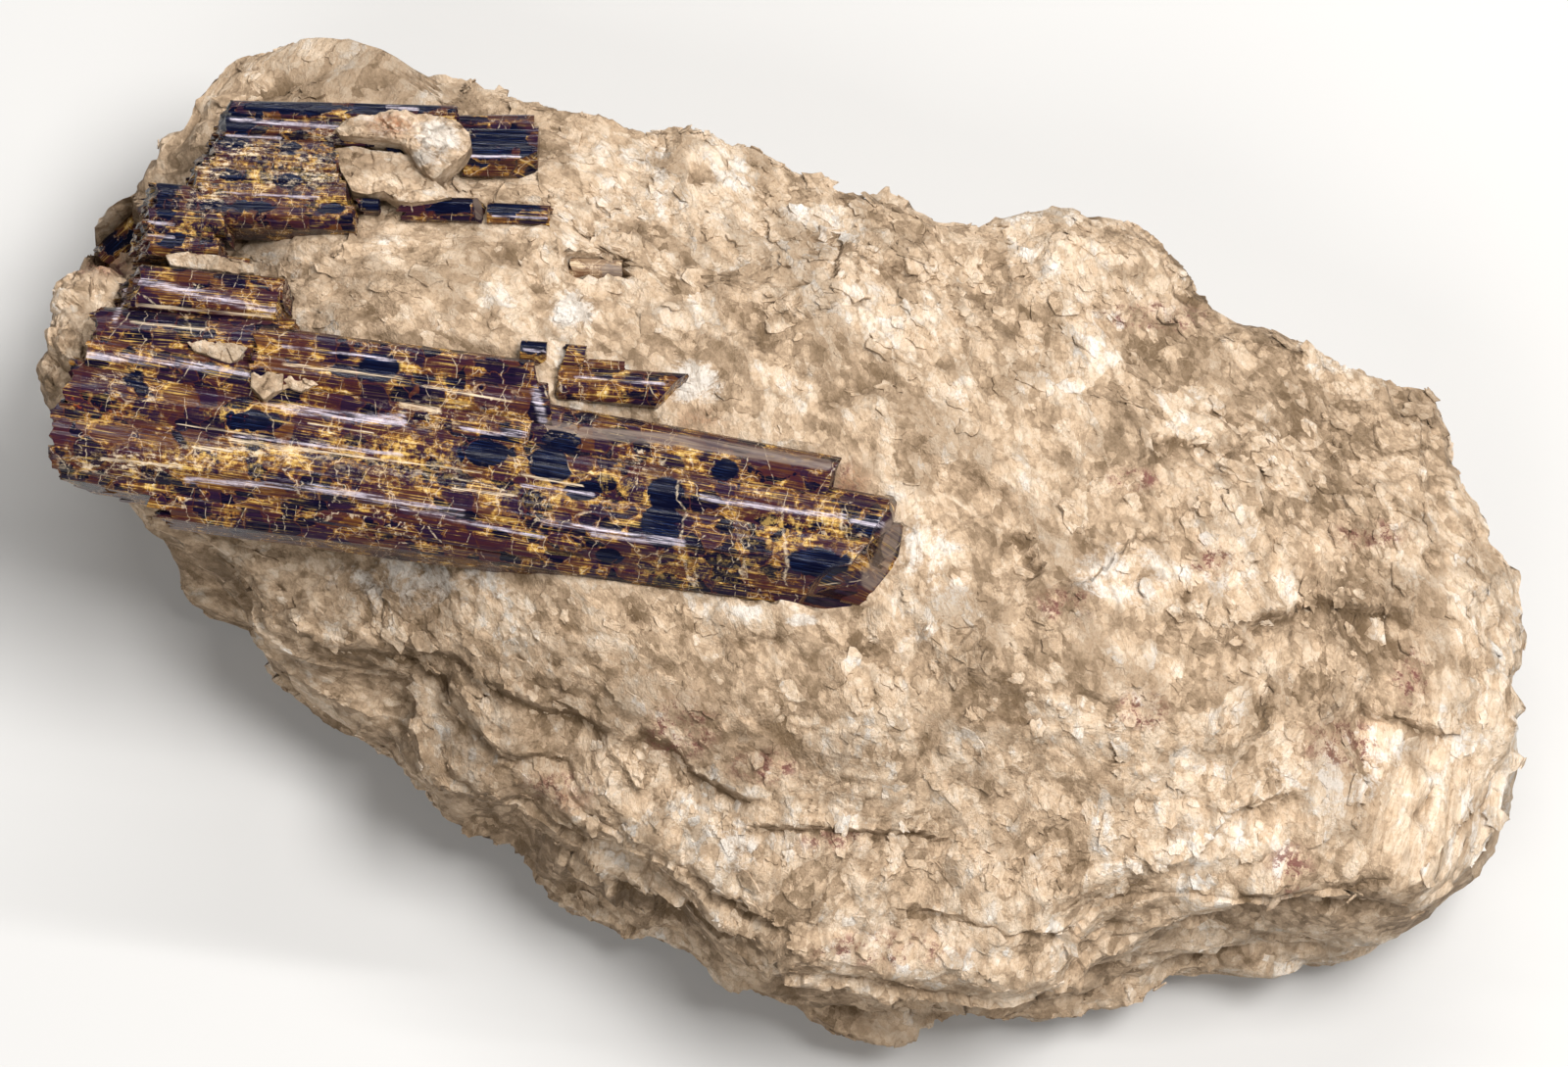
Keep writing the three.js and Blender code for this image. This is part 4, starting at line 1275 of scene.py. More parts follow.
SMALL_FORMS = [
    Crystal("thin_blade", [Prism((206, 265), (262, 272), (35.2, 35.4), (0.8, 2.2))], around=28, row_step=0.3),
    Crystal(
        "upper_right_crystal",
        [
            Prism((474, 148), (550, 150), (33.4, 33.4), (4.1, 4.6), ridge=-0.35, ragged=(0.2, 0)),
            Prism((470, 128), (546, 128), (33.0, 33.0), (1.9, 3.6), ragged=(0.2, 0)),
        ],
        [EndFace((553, 122), 32.6, (0.75, 0.6, 0.25)), EndFace((552, 168), 32.0, (0.7, -0.65, 0.3))],
        row_step=0.25, stria_height=0.035,
        ink=spot_rows((505, 150, 36, 22, 0.75)),
    ),
    Crystal(
        "left_needle",
        [Prism((418, 213), (486, 214), (33.8, 34.5), (1.9, 2.2), lean=(0, 0.3), ragged=(0.8, 0.02))],
        around=48, row_step=0.2, stria_height=0.04,
        ink=spot_rows((460, 212, 40, 9, 0.4)),
    ),
    Crystal(
        "right_needle",
        [Prism((500, 217), (561, 220), (34.1, 34.0), (1.6, 2.0), lean=(0, 0.1), ragged=(0.02, 0.4))],
        around=40, row_step=0.2, stria_height=0.03,
        ink=spot_rows((525, 218, 28, 9, 0.55)),
    ),
    Crystal(
        "side_crystal",
        [
            Prism((574, 388), (688, 396), (35.2, 35.2), (2.7, 3.4), skew=(0, 0.85), ragged=(0.3, 0.1)),
            Prism((580, 364), (600, 366), (35.0, 35.0), (2.0, 2.8)),
            Prism((598, 374), (640, 377), (34.9, 34.9), (1.1, 2.4)),
        ],
        around=56, row_step=0.25, stria_height=0.05,
    ),
    Crystal(
        "stub_crystal",
        [Prism((536, 359), (562, 361), (35.6, 35.6), (1.8, 1.9), ragged=(0.1, 0))],
        [EndFace((568, 361), 35.0, (0.8, 0.45, 0.3)), EndFace((568, 361), 35.0, (0.8, -0.55, 0.3))],
        around=40, row_step=0.15, stria_height=0.02,
        ink=spot_rows((548, 358, 14, 8, 0.6)),
    ),
    Crystal(
        "pale_crystal",
        [Prism((584, 273), (636, 275), (32.3, 32.2), (1.7, 2.2))],
        slot=Slot.PALE, around=36, row_step=0.25, stria_height=0.03,
    ),
    Crystal(
        "edge_crystal",
        [Prism((93, 262), (146, 214), (17.5, 19.5), (3.6, 5.0), ridge=0.1)],
        around=48, row_step=0.3,
        ink=spot_rows((115, 240, 30, 16, 0.6)),
    ),
    Crystal(
        "small_crystal_upper",
        [Prism((398, 154), (419, 155), (34.3, 34.3), (0.8, 1.8))],
        around=24, row_step=0.2,
        ink=spot_rows((408, 154, 20, 9)),
    ),
    Crystal(
        "small_crystal_lower",
        [Prism((370, 210), (390, 211), (34.2, 34.2), (0.9, 1.8))],
        around=24, row_step=0.2,
        ink=spot_rows((386, 210, 12, 8, 0.7)),
    ),
]


@dataclass(frozen=True)
class Lap:
    """A lump of stone over the crystals: pixel, height of its middle, and half sizes."""

    at: Pixel
    height: float
    half: tuple[float, float, float]


@dataclass(frozen=True)
class Hollow:
    """A hollow in the stone: pixel, height, half lengths along and across, and depth."""

    at: Pixel
    height: float
    long: float
    short: float
    depth: float


@dataclass(frozen=True)
class Ledge:
    """A step in the stone: a line in pixels whose right side drops away, and its drop and reach in mm."""

    line: tuple[Pixel, ...]
    drop: float
    reach: float

    def fall(self, seen: Array) -> tuple[Array, Array]:
        """How far the stone drops at points, and how near they lie under the step.

        The drop is steepest on the line, fades with the distance beyond it, and dies out towards
        the line's ends.

        Args:
            seen: The points' pixels.

        Returns:
            Drops in millimetres and shares from 0 to 1.
        """
        corners = np.array(self.line, dtype=float)
        lengths = np.linalg.norm(np.diff(corners, axis=0), axis=1)
        nearest = np.full(len(seen), np.inf)
        side = np.zeros(len(seen))
        run = np.zeros(len(seen))
        for n, length in enumerate(lengths):
            way = (corners[n + 1] - corners[n]) / length
            away = seen - corners[n]
            share = np.clip(away @ way, 0, length)
            distance = np.linalg.norm(away - share[:, None] * way, axis=1)
            closer = distance < nearest
            nearest = np.where(closer, distance, nearest)
            side = np.where(closer, np.sign(way[0] * away[:, 1] - way[1] * away[:, 0]) * distance, side)
            run = np.where(closer, lengths[:n].sum() + share, run)
        whole = lengths.sum()
        ends = smooth_step(run / whole, 0, 0.2) * smooth_step(1 - run / whole, 0, 0.2)
        beyond = np.maximum(side, 0) * VIEW.scale
        fall = self.drop * smooth_step(side, -2.5, 2.5) * np.exp(-((beyond / self.reach) ** 2)) * ends
        under = smooth_step(side, -1, 3) * np.exp(-beyond / 0.5) * ends
        return fall, under


LEDGES = [
    Ledge(((1225, 628), (1290, 618), (1345, 617), (1405, 624), (1450, 640)), 1.1, 4.0),
    Ledge(((1060, 632), (1085, 598), (1120, 578), (1150, 548), (1190, 540)), -0.8, 3.0),
    Ledge(((740, 830), (790, 838), (850, 839), (930, 846), (985, 852)), 0.9, 3.0),
    Ledge(((1190, 640), (1250, 648), (1288, 676), (1290, 725), (1250, 756), (1200, 765)), -0.9, 4.0),
    Ledge(((630, 752), (660, 742), (690, 760), (720, 790), (770, 806)), 1.2, 3.0),
    Ledge(((1240, 905), (1290, 915), (1350, 905), (1400, 880)), 1.0, 3.0),
    Ledge(((545, 225), (575, 262), (588, 300), (600, 345)), -1.2, 5.0),
    Ledge(((400, 640), (470, 680), (560, 722), (640, 744)), 1.1, 5.0),
    Ledge(((655, 470), (720, 450), (800, 462), (870, 478)), -0.5, 2.5),
    Ledge(((1010, 530), (1050, 545), (1070, 570), (1060, 600)), 0.8, 2.5),
    Ledge(((820, 225), (850, 255), (842, 290), (800, 310)), 0.8, 3.5),
    Ledge(((930, 430), (960, 470), (1010, 490), (1060, 495)), 0.6, 3.0),
    Ledge(((1130, 470), (1190, 450), (1260, 455), (1330, 480)), 0.8, 3.5),
    Ledge(((1370, 690), (1400, 720), (1460, 735), (1510, 730)), 0.9, 3.5),
    Ledge(((560, 880), (640, 905), (740, 940), (800, 960)), 1.2, 3.0),
    Ledge(((880, 930), (960, 925), (1050, 935), (1130, 950)), 0.6, 2.5),
    Ledge(((300, 620), (330, 650), (390, 672), (450, 690)), 1.2, 3.0),
    Ledge(((720, 640), (790, 655), (860, 652), (940, 668)), 0.5, 3.0),
    Ledge(((1090, 690), (1130, 720), (1140, 770), (1110, 810)), 0.6, 3.0),
    Ledge(((960, 740), (1000, 715), (1040, 722), (1080, 745)), -0.5, 3.0),
]

LAPS = [
    Lap((438, 146), 33.4, (2.9, 1.7, 1.2)),
    Lap((420, 184), 33.0, (3.0, 1.6, 1.2)),
]

HOLLOWS = [
    Hollow((398, 700), 16, 5.5, 2.2, 4.5),
    Hollow((480, 742), 19, 5, 2, 2),
    Hollow((1265, 930), 15, 5, 2.2, 3.5),
    Hollow((905, 1000), 14, 6, 2, 2.5),
    Hollow((650, 880), 18, 7, 1.6, 1.4),
    Hollow((900, 830), 28, 10, 2, 1.2),
]

# Patches of the stone's colour, as the photograph shows them, with some painted shade and light
STONE_SPOTS = {
    "pale": spot_rows(
        # The first patch, under the big crystal, is painted light
        (435, 592, 100, 34, 0.55), (585, 322, 26, 24), (676, 200, 10, 30, 0.7), (762, 621, 16, 8),
        (818, 630, 18, 7), (755, 855, 20, 26, 0.8), (940, 560, 44, 34, 0.6), (1140, 585, 52, 30, 0.75),
        (712, 395, 30, 26, 0.7), (640, 395, 60, 40, 0.4), (452, 142, 26, 22), (440, 165, 20, 14, 0.9),
        (932, 640, 24, 14, 0.5), (280, 280, 40, 16, 0.35), (600, 930, 24, 14, 0.5),
        (1260, 590, 60, 22, 0.45), (1360, 790, 110, 60, 0.35), (1240, 860, 80, 40, 0.3),
        (960, 590, 30, 30, 0.5), (980, 400, 16, 20, 0.5),
    ),
    # Brown stain; the patches on the front and lower walls, in the crevices and under the big crystal and the
    # lens are painted shade
    "umber_and_shade": spot_rows(
        (820, 760, 140, 70, 0.85), (905, 410, 90, 34, 0.6), (650, 220, 60, 100, 0.6),
        (620, 290, 30, 60, 0.8), (1062, 560, 40, 50, 0.6), (400, 700, 60, 30, 0.9),
        (900, 860, 120, 30, 0.5), (520, 700, 90, 30, 0.4), (1330, 640, 90, 20, 0.5),
        (905, 1010, 90, 20, 0.8), (1260, 955, 110, 22, 0.7), (640, 880, 140, 40, 0.35),
        (200, 600, 60, 50, 0.6), (90, 290, 40, 70, 0.5), (830, 240, 40, 40, 0.45),
        (1180, 430, 60, 50, 0.35), (225, 530, 90, 26, 0.55), (470, 760, 110, 50), (330, 690, 80, 40, 0.7),
        (402, 153, 14, 5), (437, 178, 8, 6), (900, 1030, 160, 16, 0.6), (420, 770, 160, 44, 0.6),
        (620, 880, 150, 36, 0.6), (320, 640, 60, 36, 0.6), (790, 960, 140, 30, 0.5),
    ),
    "rose": spot_rows(
        (698, 740, 34, 28), (780, 776, 36, 16, 0.8), (862, 500, 18, 22, 0.9), (1175, 325, 52, 14),
        (1225, 570, 26, 16), (1080, 615, 26, 18), (1390, 545, 34, 12), (1432, 690, 18, 26),
        (1155, 720, 26, 18, 0.8), (1360, 755, 40, 24, 0.8), (575, 800, 36, 14, 0.8),
        (900, 960, 70, 18, 0.7), (1150, 490, 26, 10, 0.9), (1305, 880, 24, 30, 0.6),
        (850, 850, 40, 12, 0.6), (105, 270, 26, 14, 0.8),
    ),
    "rust": spot_rows(
        (402, 131, 24, 12), (864, 500, 14, 22), (715, 430, 20, 10, 0.6), (112, 268, 30, 14, 0.7),
        (585, 815, 20, 12, 0.6),
    ),
    "smooth": spot_rows(
        (1420, 790, 110, 90), (1230, 840, 120, 60, 0.9), (1290, 580, 80, 40, 0.8),
        (1150, 590, 50, 24, 0.8), (945, 560, 50, 40, 0.7), (1220, 690, 80, 30, 0.6),
        (1090, 265, 60, 20, 0.8), (300, 80, 60, 20, 0.8),
    ),
}


# Widest line, clockwise from its top left: pixel across, pixel down, height
STONE_OUTLINE = np.array(
    [
        (245, 75, 20), (295, 52, 22), (365, 50, 24), (430, 78, 26), (470, 88, 26), (505, 100, 26.5),
        (545, 110, 27), (600, 125, 27.5), (650, 137, 27.5), (740, 148, 27.5), (790, 165, 27.5),
        (845, 195, 27.5), (890, 203, 27.5), (950, 228, 27), (1000, 243, 27), (1050, 238, 26.5),
        (1110, 248, 26), (1135, 257, 25.5), (1170, 290, 25), (1200, 315, 24.5), (1255, 348, 24),
        (1285, 352, 23.5), (1350, 388, 22.5), (1400, 402, 21.5), (1445, 416, 20.5), (1457, 432, 20),
        (1465, 490, 19), (1478, 525, 18.5), (1500, 545, 18), (1515, 580, 17.5), (1528, 610, 17),
        (1535, 650, 16.5), (1531, 700, 16), (1541, 722, 16), (1533, 760, 15.5), (1525, 795, 15),
        (1505, 840, 14.5), (1480, 875, 14), (1450, 912, 13.5), (1415, 935, 13), (1385, 950, 13),
        (1320, 952, 13), (1250, 947, 13.5), (1200, 952, 13.5), (1130, 968, 13.5), (1060, 990, 13),
        (1000, 1003, 13), (930, 1004, 13), (860, 1000, 12.5), (790, 998, 12), (740, 983, 11),
        (690, 952, 10.5), (640, 928, 10), (600, 906, 10), (565, 884, 10), (540, 850, 10),
        (500, 838, 10), (455, 820, 10), (425, 786, 10), (400, 758, 10), (345, 735, 10), (300, 705, 10),
        (270, 678, 10), (262, 645, 10.5), (240, 612, 12), (200, 572, 15), (162, 532, 19),
        (132, 490, 22), (104, 450, 22), (82, 405, 19), (62, 350, 14), (64, 320, 14), (74, 285, 15),
        (84, 262, 16), (110, 232, 18), (140, 205, 19), (158, 178, 20), (180, 148, 20.5),
        (195, 122, 20), (215, 98, 20),
    ],
    dtype=float,
)
# The lower layer's outline, in pixels at its own level
SLAB_OUTLINE = np.array(
    [
        (172, 580), (176, 600), (192, 622), (225, 634), (252, 642), (290, 660), (400, 735), (540, 835),
        (660, 920), (740, 980), (790, 1005), (828, 1034), (860, 1045), (900, 1052), (958, 1044),
        (982, 1030), (1050, 1027), (1100, 1016), (1180, 1008), (1200, 998), (1245, 998), (1290, 1003),
        (1330, 985), (1365, 983), (1386, 972), (1402, 950), (1430, 880), (1460, 760), (1420, 620),
        (1280, 500), (1000, 420), (640, 330), (330, 290), (140, 320), (66, 345), (48, 366), (40, 386),
        (52, 404), (78, 430), (120, 490), (160, 545),
    ],
    dtype=float,
)
# Heights of the top where it has no crystal: pixel across, pixel down, height
STONE_RELIEF = np.array(
    [
        (300, 85, 26.5), (380, 78, 27.5), (215, 135, 27), (165, 225, 25), (112, 300, 21),
        (90, 350, 19), (450, 112, 28.5), (350, 180, 32.5), (450, 180, 32.5), (300, 240, 34),
        (420, 290, 35.2), (520, 250, 34.8), (230, 320, 33), (240, 160, 31.5), (190, 240, 31),
        (140, 330, 30.5), (125, 400, 30), (160, 460, 29.5), (240, 505, 29.5), (540, 340, 34.6),
        (620, 220, 31.6), (650, 165, 30.6), (610, 300, 31.8), (690, 330, 32.2), (750, 210, 31),
        (760, 350, 33), (850, 290, 32.8), (850, 420, 34.2), (960, 480, 34), (950, 350, 33),
        (1050, 300, 30.8), (1100, 450, 32.4), (1200, 380, 29.4), (1250, 500, 31.2), (1350, 450, 27.4),
        (1400, 560, 28), (1300, 650, 30.4), (1450, 650, 25.5), (1200, 700, 31.4), (1350, 800, 27.4),
        (1480, 760, 22.5), (1250, 850, 26.6), (1100, 820, 29.2), (1000, 640, 33.4), (1060, 560, 31.8),
        (900, 700, 32), (800, 650, 33), (700, 630, 33), (560, 600, 32.6), (450, 580, 31.8),
        (430, 640, 30), (520, 700, 28.8), (650, 710, 30.6), (800, 790, 28.2), (950, 815, 27.6),
        (850, 890, 26.4), (1000, 900, 25.6), (700, 850, 24.2), (1150, 900, 23.6), (600, 790, 24),
        (500, 770, 20), (350, 620, 22.5), (310, 565, 26.5), (235, 560, 22), (185, 525, 22),
        (400, 710, 16), (900, 960, 20.5),
    ],
    dtype=float,
)


@dataclass
class Stone:
    """The matrix: a closed skin blown out to its outline, relief and lower layer, then chipped and flaked."""

    half_length: float = 58.0
    half_breadth: float = 34.0
    slab_top: float = 9.5
    slab_level: float = 5.5
    relief_reach: float = 6.5
    wall_wander: float = 0.14
    top_grid: tuple[int, int] = (282, 150)
    side_rows: int = 60
    node: str = "matrix"
    # Painted shade for the low spots of the fine relief and the foot of the ledges
    crease_shade: Array | None = None

    @staticmethod
    def read_line(line: Array, angle: Array) -> tuple[Array, Array]:
        """Radius and height of a closed line about the origin, straight between its points by angle.

        Args:
            line: The line's points.
            angle: Angles to read.

        Returns:
            Radii and heights.
        """
        around = np.arctan2(line[:, 1], line[:, 0])
        order = np.argsort(around)
        around, line = around[order], line[order]
        around = np.concatenate([around[-1:] - 2 * np.pi, around, around[:1] + 2 * np.pi])
        line = np.vstack([line[-1:], line, line[:1]])
        radius = np.hypot(line[:, 0], line[:, 1])
        return np.interp(angle, around, radius), np.interp(angle, around, line[:, 2])

    def top_height(self, x: Array, y: Array) -> Array:
        """Height of the top in plan: the relief's heights, each weighted by its nearness."""
        spots = VIEW.place(STONE_RELIEF[:, 0], STONE_RELIEF[:, 1], STONE_RELIEF[:, 2])
        distance = ((x[:, None] - spots[:, 0]) ** 2 + (y[:, None] - spots[:, 1]) ** 2) / self.relief_reach**2
        weight = np.exp(-distance) + 1e-4 / (1 + distance) ** 2
        return (weight @ spots[:, 2]) / weight.sum(axis=1)

    @staticmethod
    def hollow_depth(points: Array) -> Array:
        """How deep the hollows are at points: a sum of long bells."""
        depth = np.zeros(len(points))
        for hollow in HOLLOWS:
            away = points - VIEW.place(*hollow.at, hollow.height)
            along, aside = VIEW.turned(away)
            rest = aside**2 + away[:, 2] ** 2
            depth += hollow.depth * np.exp(-((along / hollow.long) ** 2) - rest / hollow.short**2)
        return depth

    def blown(self, way: Array) -> tuple[Array, Array]:
        """The stone's broad form for directions from its middle.

        Above the widest line the reach shrinks by a power of the direction's level part, while the
        height climbs to the relief. Below it the wall drops to the ground, or stands out as far as
        the lower layer does at that height.

        Args:
            way: Unit directions, one row each.

        Returns:
            Points and outward directions.
        """
        angle = np.arctan2(way[:, 1] * self.half_breadth, way[:, 0] * self.half_length)
        steep = np.abs(way[:, 2])
        scaled = way * np.array([5.0, 5.0, 3.0])
        wander = np.sqrt(steep) * smooth_noise(scaled, 1.0)
        line = VIEW.place(STONE_OUTLINE[:, 0], STONE_OUTLINE[:, 1], STONE_OUTLINE[:, 2])
        radius, rim = self.read_line(line, angle + self.wall_wander * wander)
        level = np.hypot(way[:, 0], way[:, 1])
        upper = radius * level**0.62
        x, y = upper * np.cos(angle), upper * np.sin(angle)
        top = rim + (self.top_height(x, y) - rim) * steep**0.42
        low = np.maximum(rim * (1 - 1.15 * steep**0.55), 0)
        lower = radius * level**0.35 * (1 - 0.05 * steep)
        slab = VIEW.place(SLAB_OUTLINE[:, 0], SLAB_OUTLINE[:, 1], self.slab_level)
        slab_radius, _ = self.read_line(slab, angle)
        crown = self.slab_top + 2 * smooth_noise(np.stack([x, y, 0 * x], axis=1), 12)
        above = np.clip((low - self.slab_level) / (crown - self.slab_level), 0, 1)
        below = np.clip((self.slab_level - low) / self.slab_level, 0, 1)
        lobe = slab_radius * np.sqrt(np.clip(1 - above**4.76, 0, 1)) ** 0.3 * (1 - 0.1 * below**2)
        lower = np.maximum(lower, lobe)
        upward = way[:, 2] >= 0
        reach = np.where(upward, upper, lower)
        points = np.stack([reach * np.cos(angle), reach * np.sin(angle), np.where(upward, top, low)], axis=1)
        side = level**4
        outward = np.stack([side * np.cos(angle), side * np.sin(angle), way[:, 2]], axis=1)
        outward /= np.maximum(np.linalg.norm(outward, axis=1, keepdims=True), 1e-9)
        return points, outward

    def chipped(self, points: Array, outward: Array) -> Array:
        """Broad lumps and facets, then flakes of ever smaller size, along the outward direction.

        Args:
            points: The broad form.
            outward: Its outward directions.

        Returns:
            The displaced points.
        """
        near = VIEW.place(330, 340, 35)
        calm = 0.35 + 0.65 * smooth_step(np.hypot(*(points - near)[:, :2].T), 22, 40)
        wall = 1 - np.abs(outward[:, 2])
        ledges = smooth_noise(points, 12, (1, 1, 3)) * wall
        lumps = 1.1 * rough_noise(points, 15, 2) + 1.3 * ledges
        facets = (0.8 + 0.5 * wall) * softened_planes(points, 10)
        broad = (lumps + facets) * calm - self.hollow_depth(points)
        bent = points + 0.9 * np.stack([smooth_noise(points + n * 40, 3.0) for n in range(3)], axis=1)
        turn = 0.8 * smooth_noise(points, 26)
        cos, sin = np.cos(turn), np.sin(turn)
        along, aside = bent[:, 0] * cos + bent[:, 1] * sin, bent[:, 1] * cos - bent[:, 0] * sin
        drawn = np.stack([0.5 * along, aside, 1.3 * bent[:, 2]], axis=1)
        strata = points[:, 2] * 0.9 + 0.9 * rough_noise(points, 9, 2)
        saw = (strata / 3.1 - np.floor(strata / 3.1)) * wall * 0.9
        fine = 0.4 * softened_planes(drawn, 3.2) + 0.16 * softened_planes(drawn + 17, 1.6)
        fine += 0.1 * smooth_noise(points, 0.9) + 0.3 * softened_planes(bent * [1, 1, 2.2], 4.6)
        fine += 0.55 * wall * softened_planes(points * [1, 1, 1.6] + 50, 5.5)
        seen = np.stack(VIEW.pixels(points), axis=1)
        seen += 14 * np.stack([rough_noise(points + offset, 4.0, 3) for offset in (0, 60)], axis=1)
        under = np.zeros(len(points))
        for ledge in LEDGES:
            fall, near = ledge.fall(seen)
            shown = points[:, 2] > 8
            broad -= fall * shown
            under = np.maximum(under, near * shown * min(1, abs(ledge.drop)) * (ledge.drop > 0))
        # Low spots of the fine relief and the stone just under ledges are kept for painted shade
        self.crease_shade = np.clip(np.maximum(-1.3 * fine - 0.5 * saw, 1.8 * under), 0, 1.8)
        return points + outward * (broad + fine + saw)[:, None]

    @staticmethod
    def settled(points: Array, crystals: list[Crystal]) -> Array:
        """Sinks the top below the crystals that lie on it, and raises it where it laps over them.

        Args:
            points: The chipped points.
            crystals: The crystals.

        Returns:
            The points with their heights changed.
        """
        height = points[:, 2].copy()
        facing = points[:, 2] > 12
        for crystal in crystals:
            for prism in crystal.prisms:
                run, across, ridge = prism.depth_inside(points)
                length = prism.axes()[4]
                inside = facing & (run > -0.25) & (run < length + 0.1) & (np.abs(across) < prism.size[0] / 2)
                floor = ridge - 0.42 * prism.size[0] - 0.5
                height = np.where(inside, np.minimum(height, floor), height)
        for lap in LAPS:
            along, aside = VIEW.turned(points - VIEW.place(*lap.at, lap.height))
            rough = 0.35 * chipped_planes(points, 1.8)[0]
            far = (along / lap.half[0]) ** 2 + (aside / lap.half[1]) ** 2 + 0.5 * rough
            crest = lap.height + lap.half[2] * np.sqrt(np.clip(1 - far, 0, 1)) + rough
            height = np.where(facing & (far < 1), np.maximum(height, crest), height)
        return np.column_stack([points[:, :2], height])

    def surface(self, crystals: list[Crystal]) -> tuple[Array, list]:
        """The closed skin: a top grid, walls hung from its border, and rings that close the underside.

        Args:
            crystals: The crystals that lie in it.

        Returns:
            Vertices and faces.
        """
        across, deep = self.top_grid
        even = np.tan(np.linspace(-1, 1, across + 1) * np.pi / 4)
        even_deep = np.tan(np.linspace(-1, 1, deep + 1) * np.pi / 4)
        grid_x, grid_y = np.meshgrid(even, even_deep, indexing="xy")
        top = np.stack([grid_x, grid_y, np.ones_like(grid_x)], axis=-1).reshape(-1, 3)
        number = np.arange(len(top)).reshape(deep + 1, across + 1)
        rim = np.concatenate([number[0, :-1], number[:-1, -1], number[-1, :0:-1], number[:0:-1, 0]])
        border = top[rim]
        columns = len(rim)
        drop = np.tan(np.linspace(1, -1, self.side_rows + 1) * np.pi / 4)[1:]
        sides = np.concatenate([np.column_stack([border[:, :2], np.full(columns, z)]) for z in drop])
        shrink = (0.93, 0.8, 0.6, 0.35, 0.12)
        under = np.concatenate([np.column_stack([border[:, :2] * s, np.full(columns, -1.0)]) for s in shrink])
        way = np.concatenate([top, sides, under, [[0.0, 0.0, -1.0]]])
        way /= np.linalg.norm(way, axis=1, keepdims=True)
        points, outward = self.blown(way)
        points = self.chipped(points, outward)
        points = self.settled(points, crystals)
        floor = np.where(way[:, 2] < -0.6, 1.6 * smooth_noise(points * [1, 1, 0] + [90, 0, 0], 16) - 0.9, 0)
        lowest = np.where((way[:, 2] < 0) | (points[:, 2] < 0), np.maximum(floor, 0), -np.inf)
        points[:, 2] = np.maximum(points[:, 2], lowest)
        corners = [number[:-1, :-1], number[:-1, 1:], number[1:, 1:], number[1:, :-1]]
        quads = np.stack(corners, axis=-1).reshape(-1, 4)
        first = len(top)
        rings = self.side_rows + len(shrink)
        column = np.arange(columns)
        following = (column + 1) % columns
        hang = np.stack([rim[following], rim[column], first + column, first + following], axis=1)
        walls = ring_quads(rings, columns, first)[:, ::-1]
        last = first + (rings - 1) * columns
        cap = np.stack([last + following, last + column, np.full(columns, len(way) - 1)], axis=1)
        return points, [np.vstack([quads, hang, walls]), cap]

    def build(self, crystals: list[Crystal], material: Material) -> Object:
        """Makes the stone in place of its node.

        Args:
            crystals: The crystals that lie in it.
            material: Its finish.

        Returns:
            The piece.
        """
        points, faces = self.surface(crystals)
        piece = make_piece("matrix_form", points, faces, 38.0)
        dress_stone(piece, points)
        # The painted shade of low spots and ledges, read by the finish as hollow
        set_values(piece, "hollow", self.crease_shade)
        piece.data.materials.append(material)
        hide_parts(self.node)
        log.info("%s: %d faces", piece.name, sum(len(part) for part in faces))
        return piece


def dress_stone(piece: Object, points: Array) -> None:
    """Stores how pale, brown, purple-red, rusty and smooth each point of the stone is. Some brown patches are
    painted shade, and one pale patch is painted light.

    The patches fade out low on the back, which the photograph doesn't show.

    Args:
        piece: The piece.
        points: Its vertices in millimetres.
    """
    hidden = smooth_step(points[:, 1], 16, 22) * smooth_step(-points[:, 2], -29, -24)
    for name, spots in STONE_SPOTS.items():
        set_values(piece, name, painted(points, spots) * (1 - hidden))


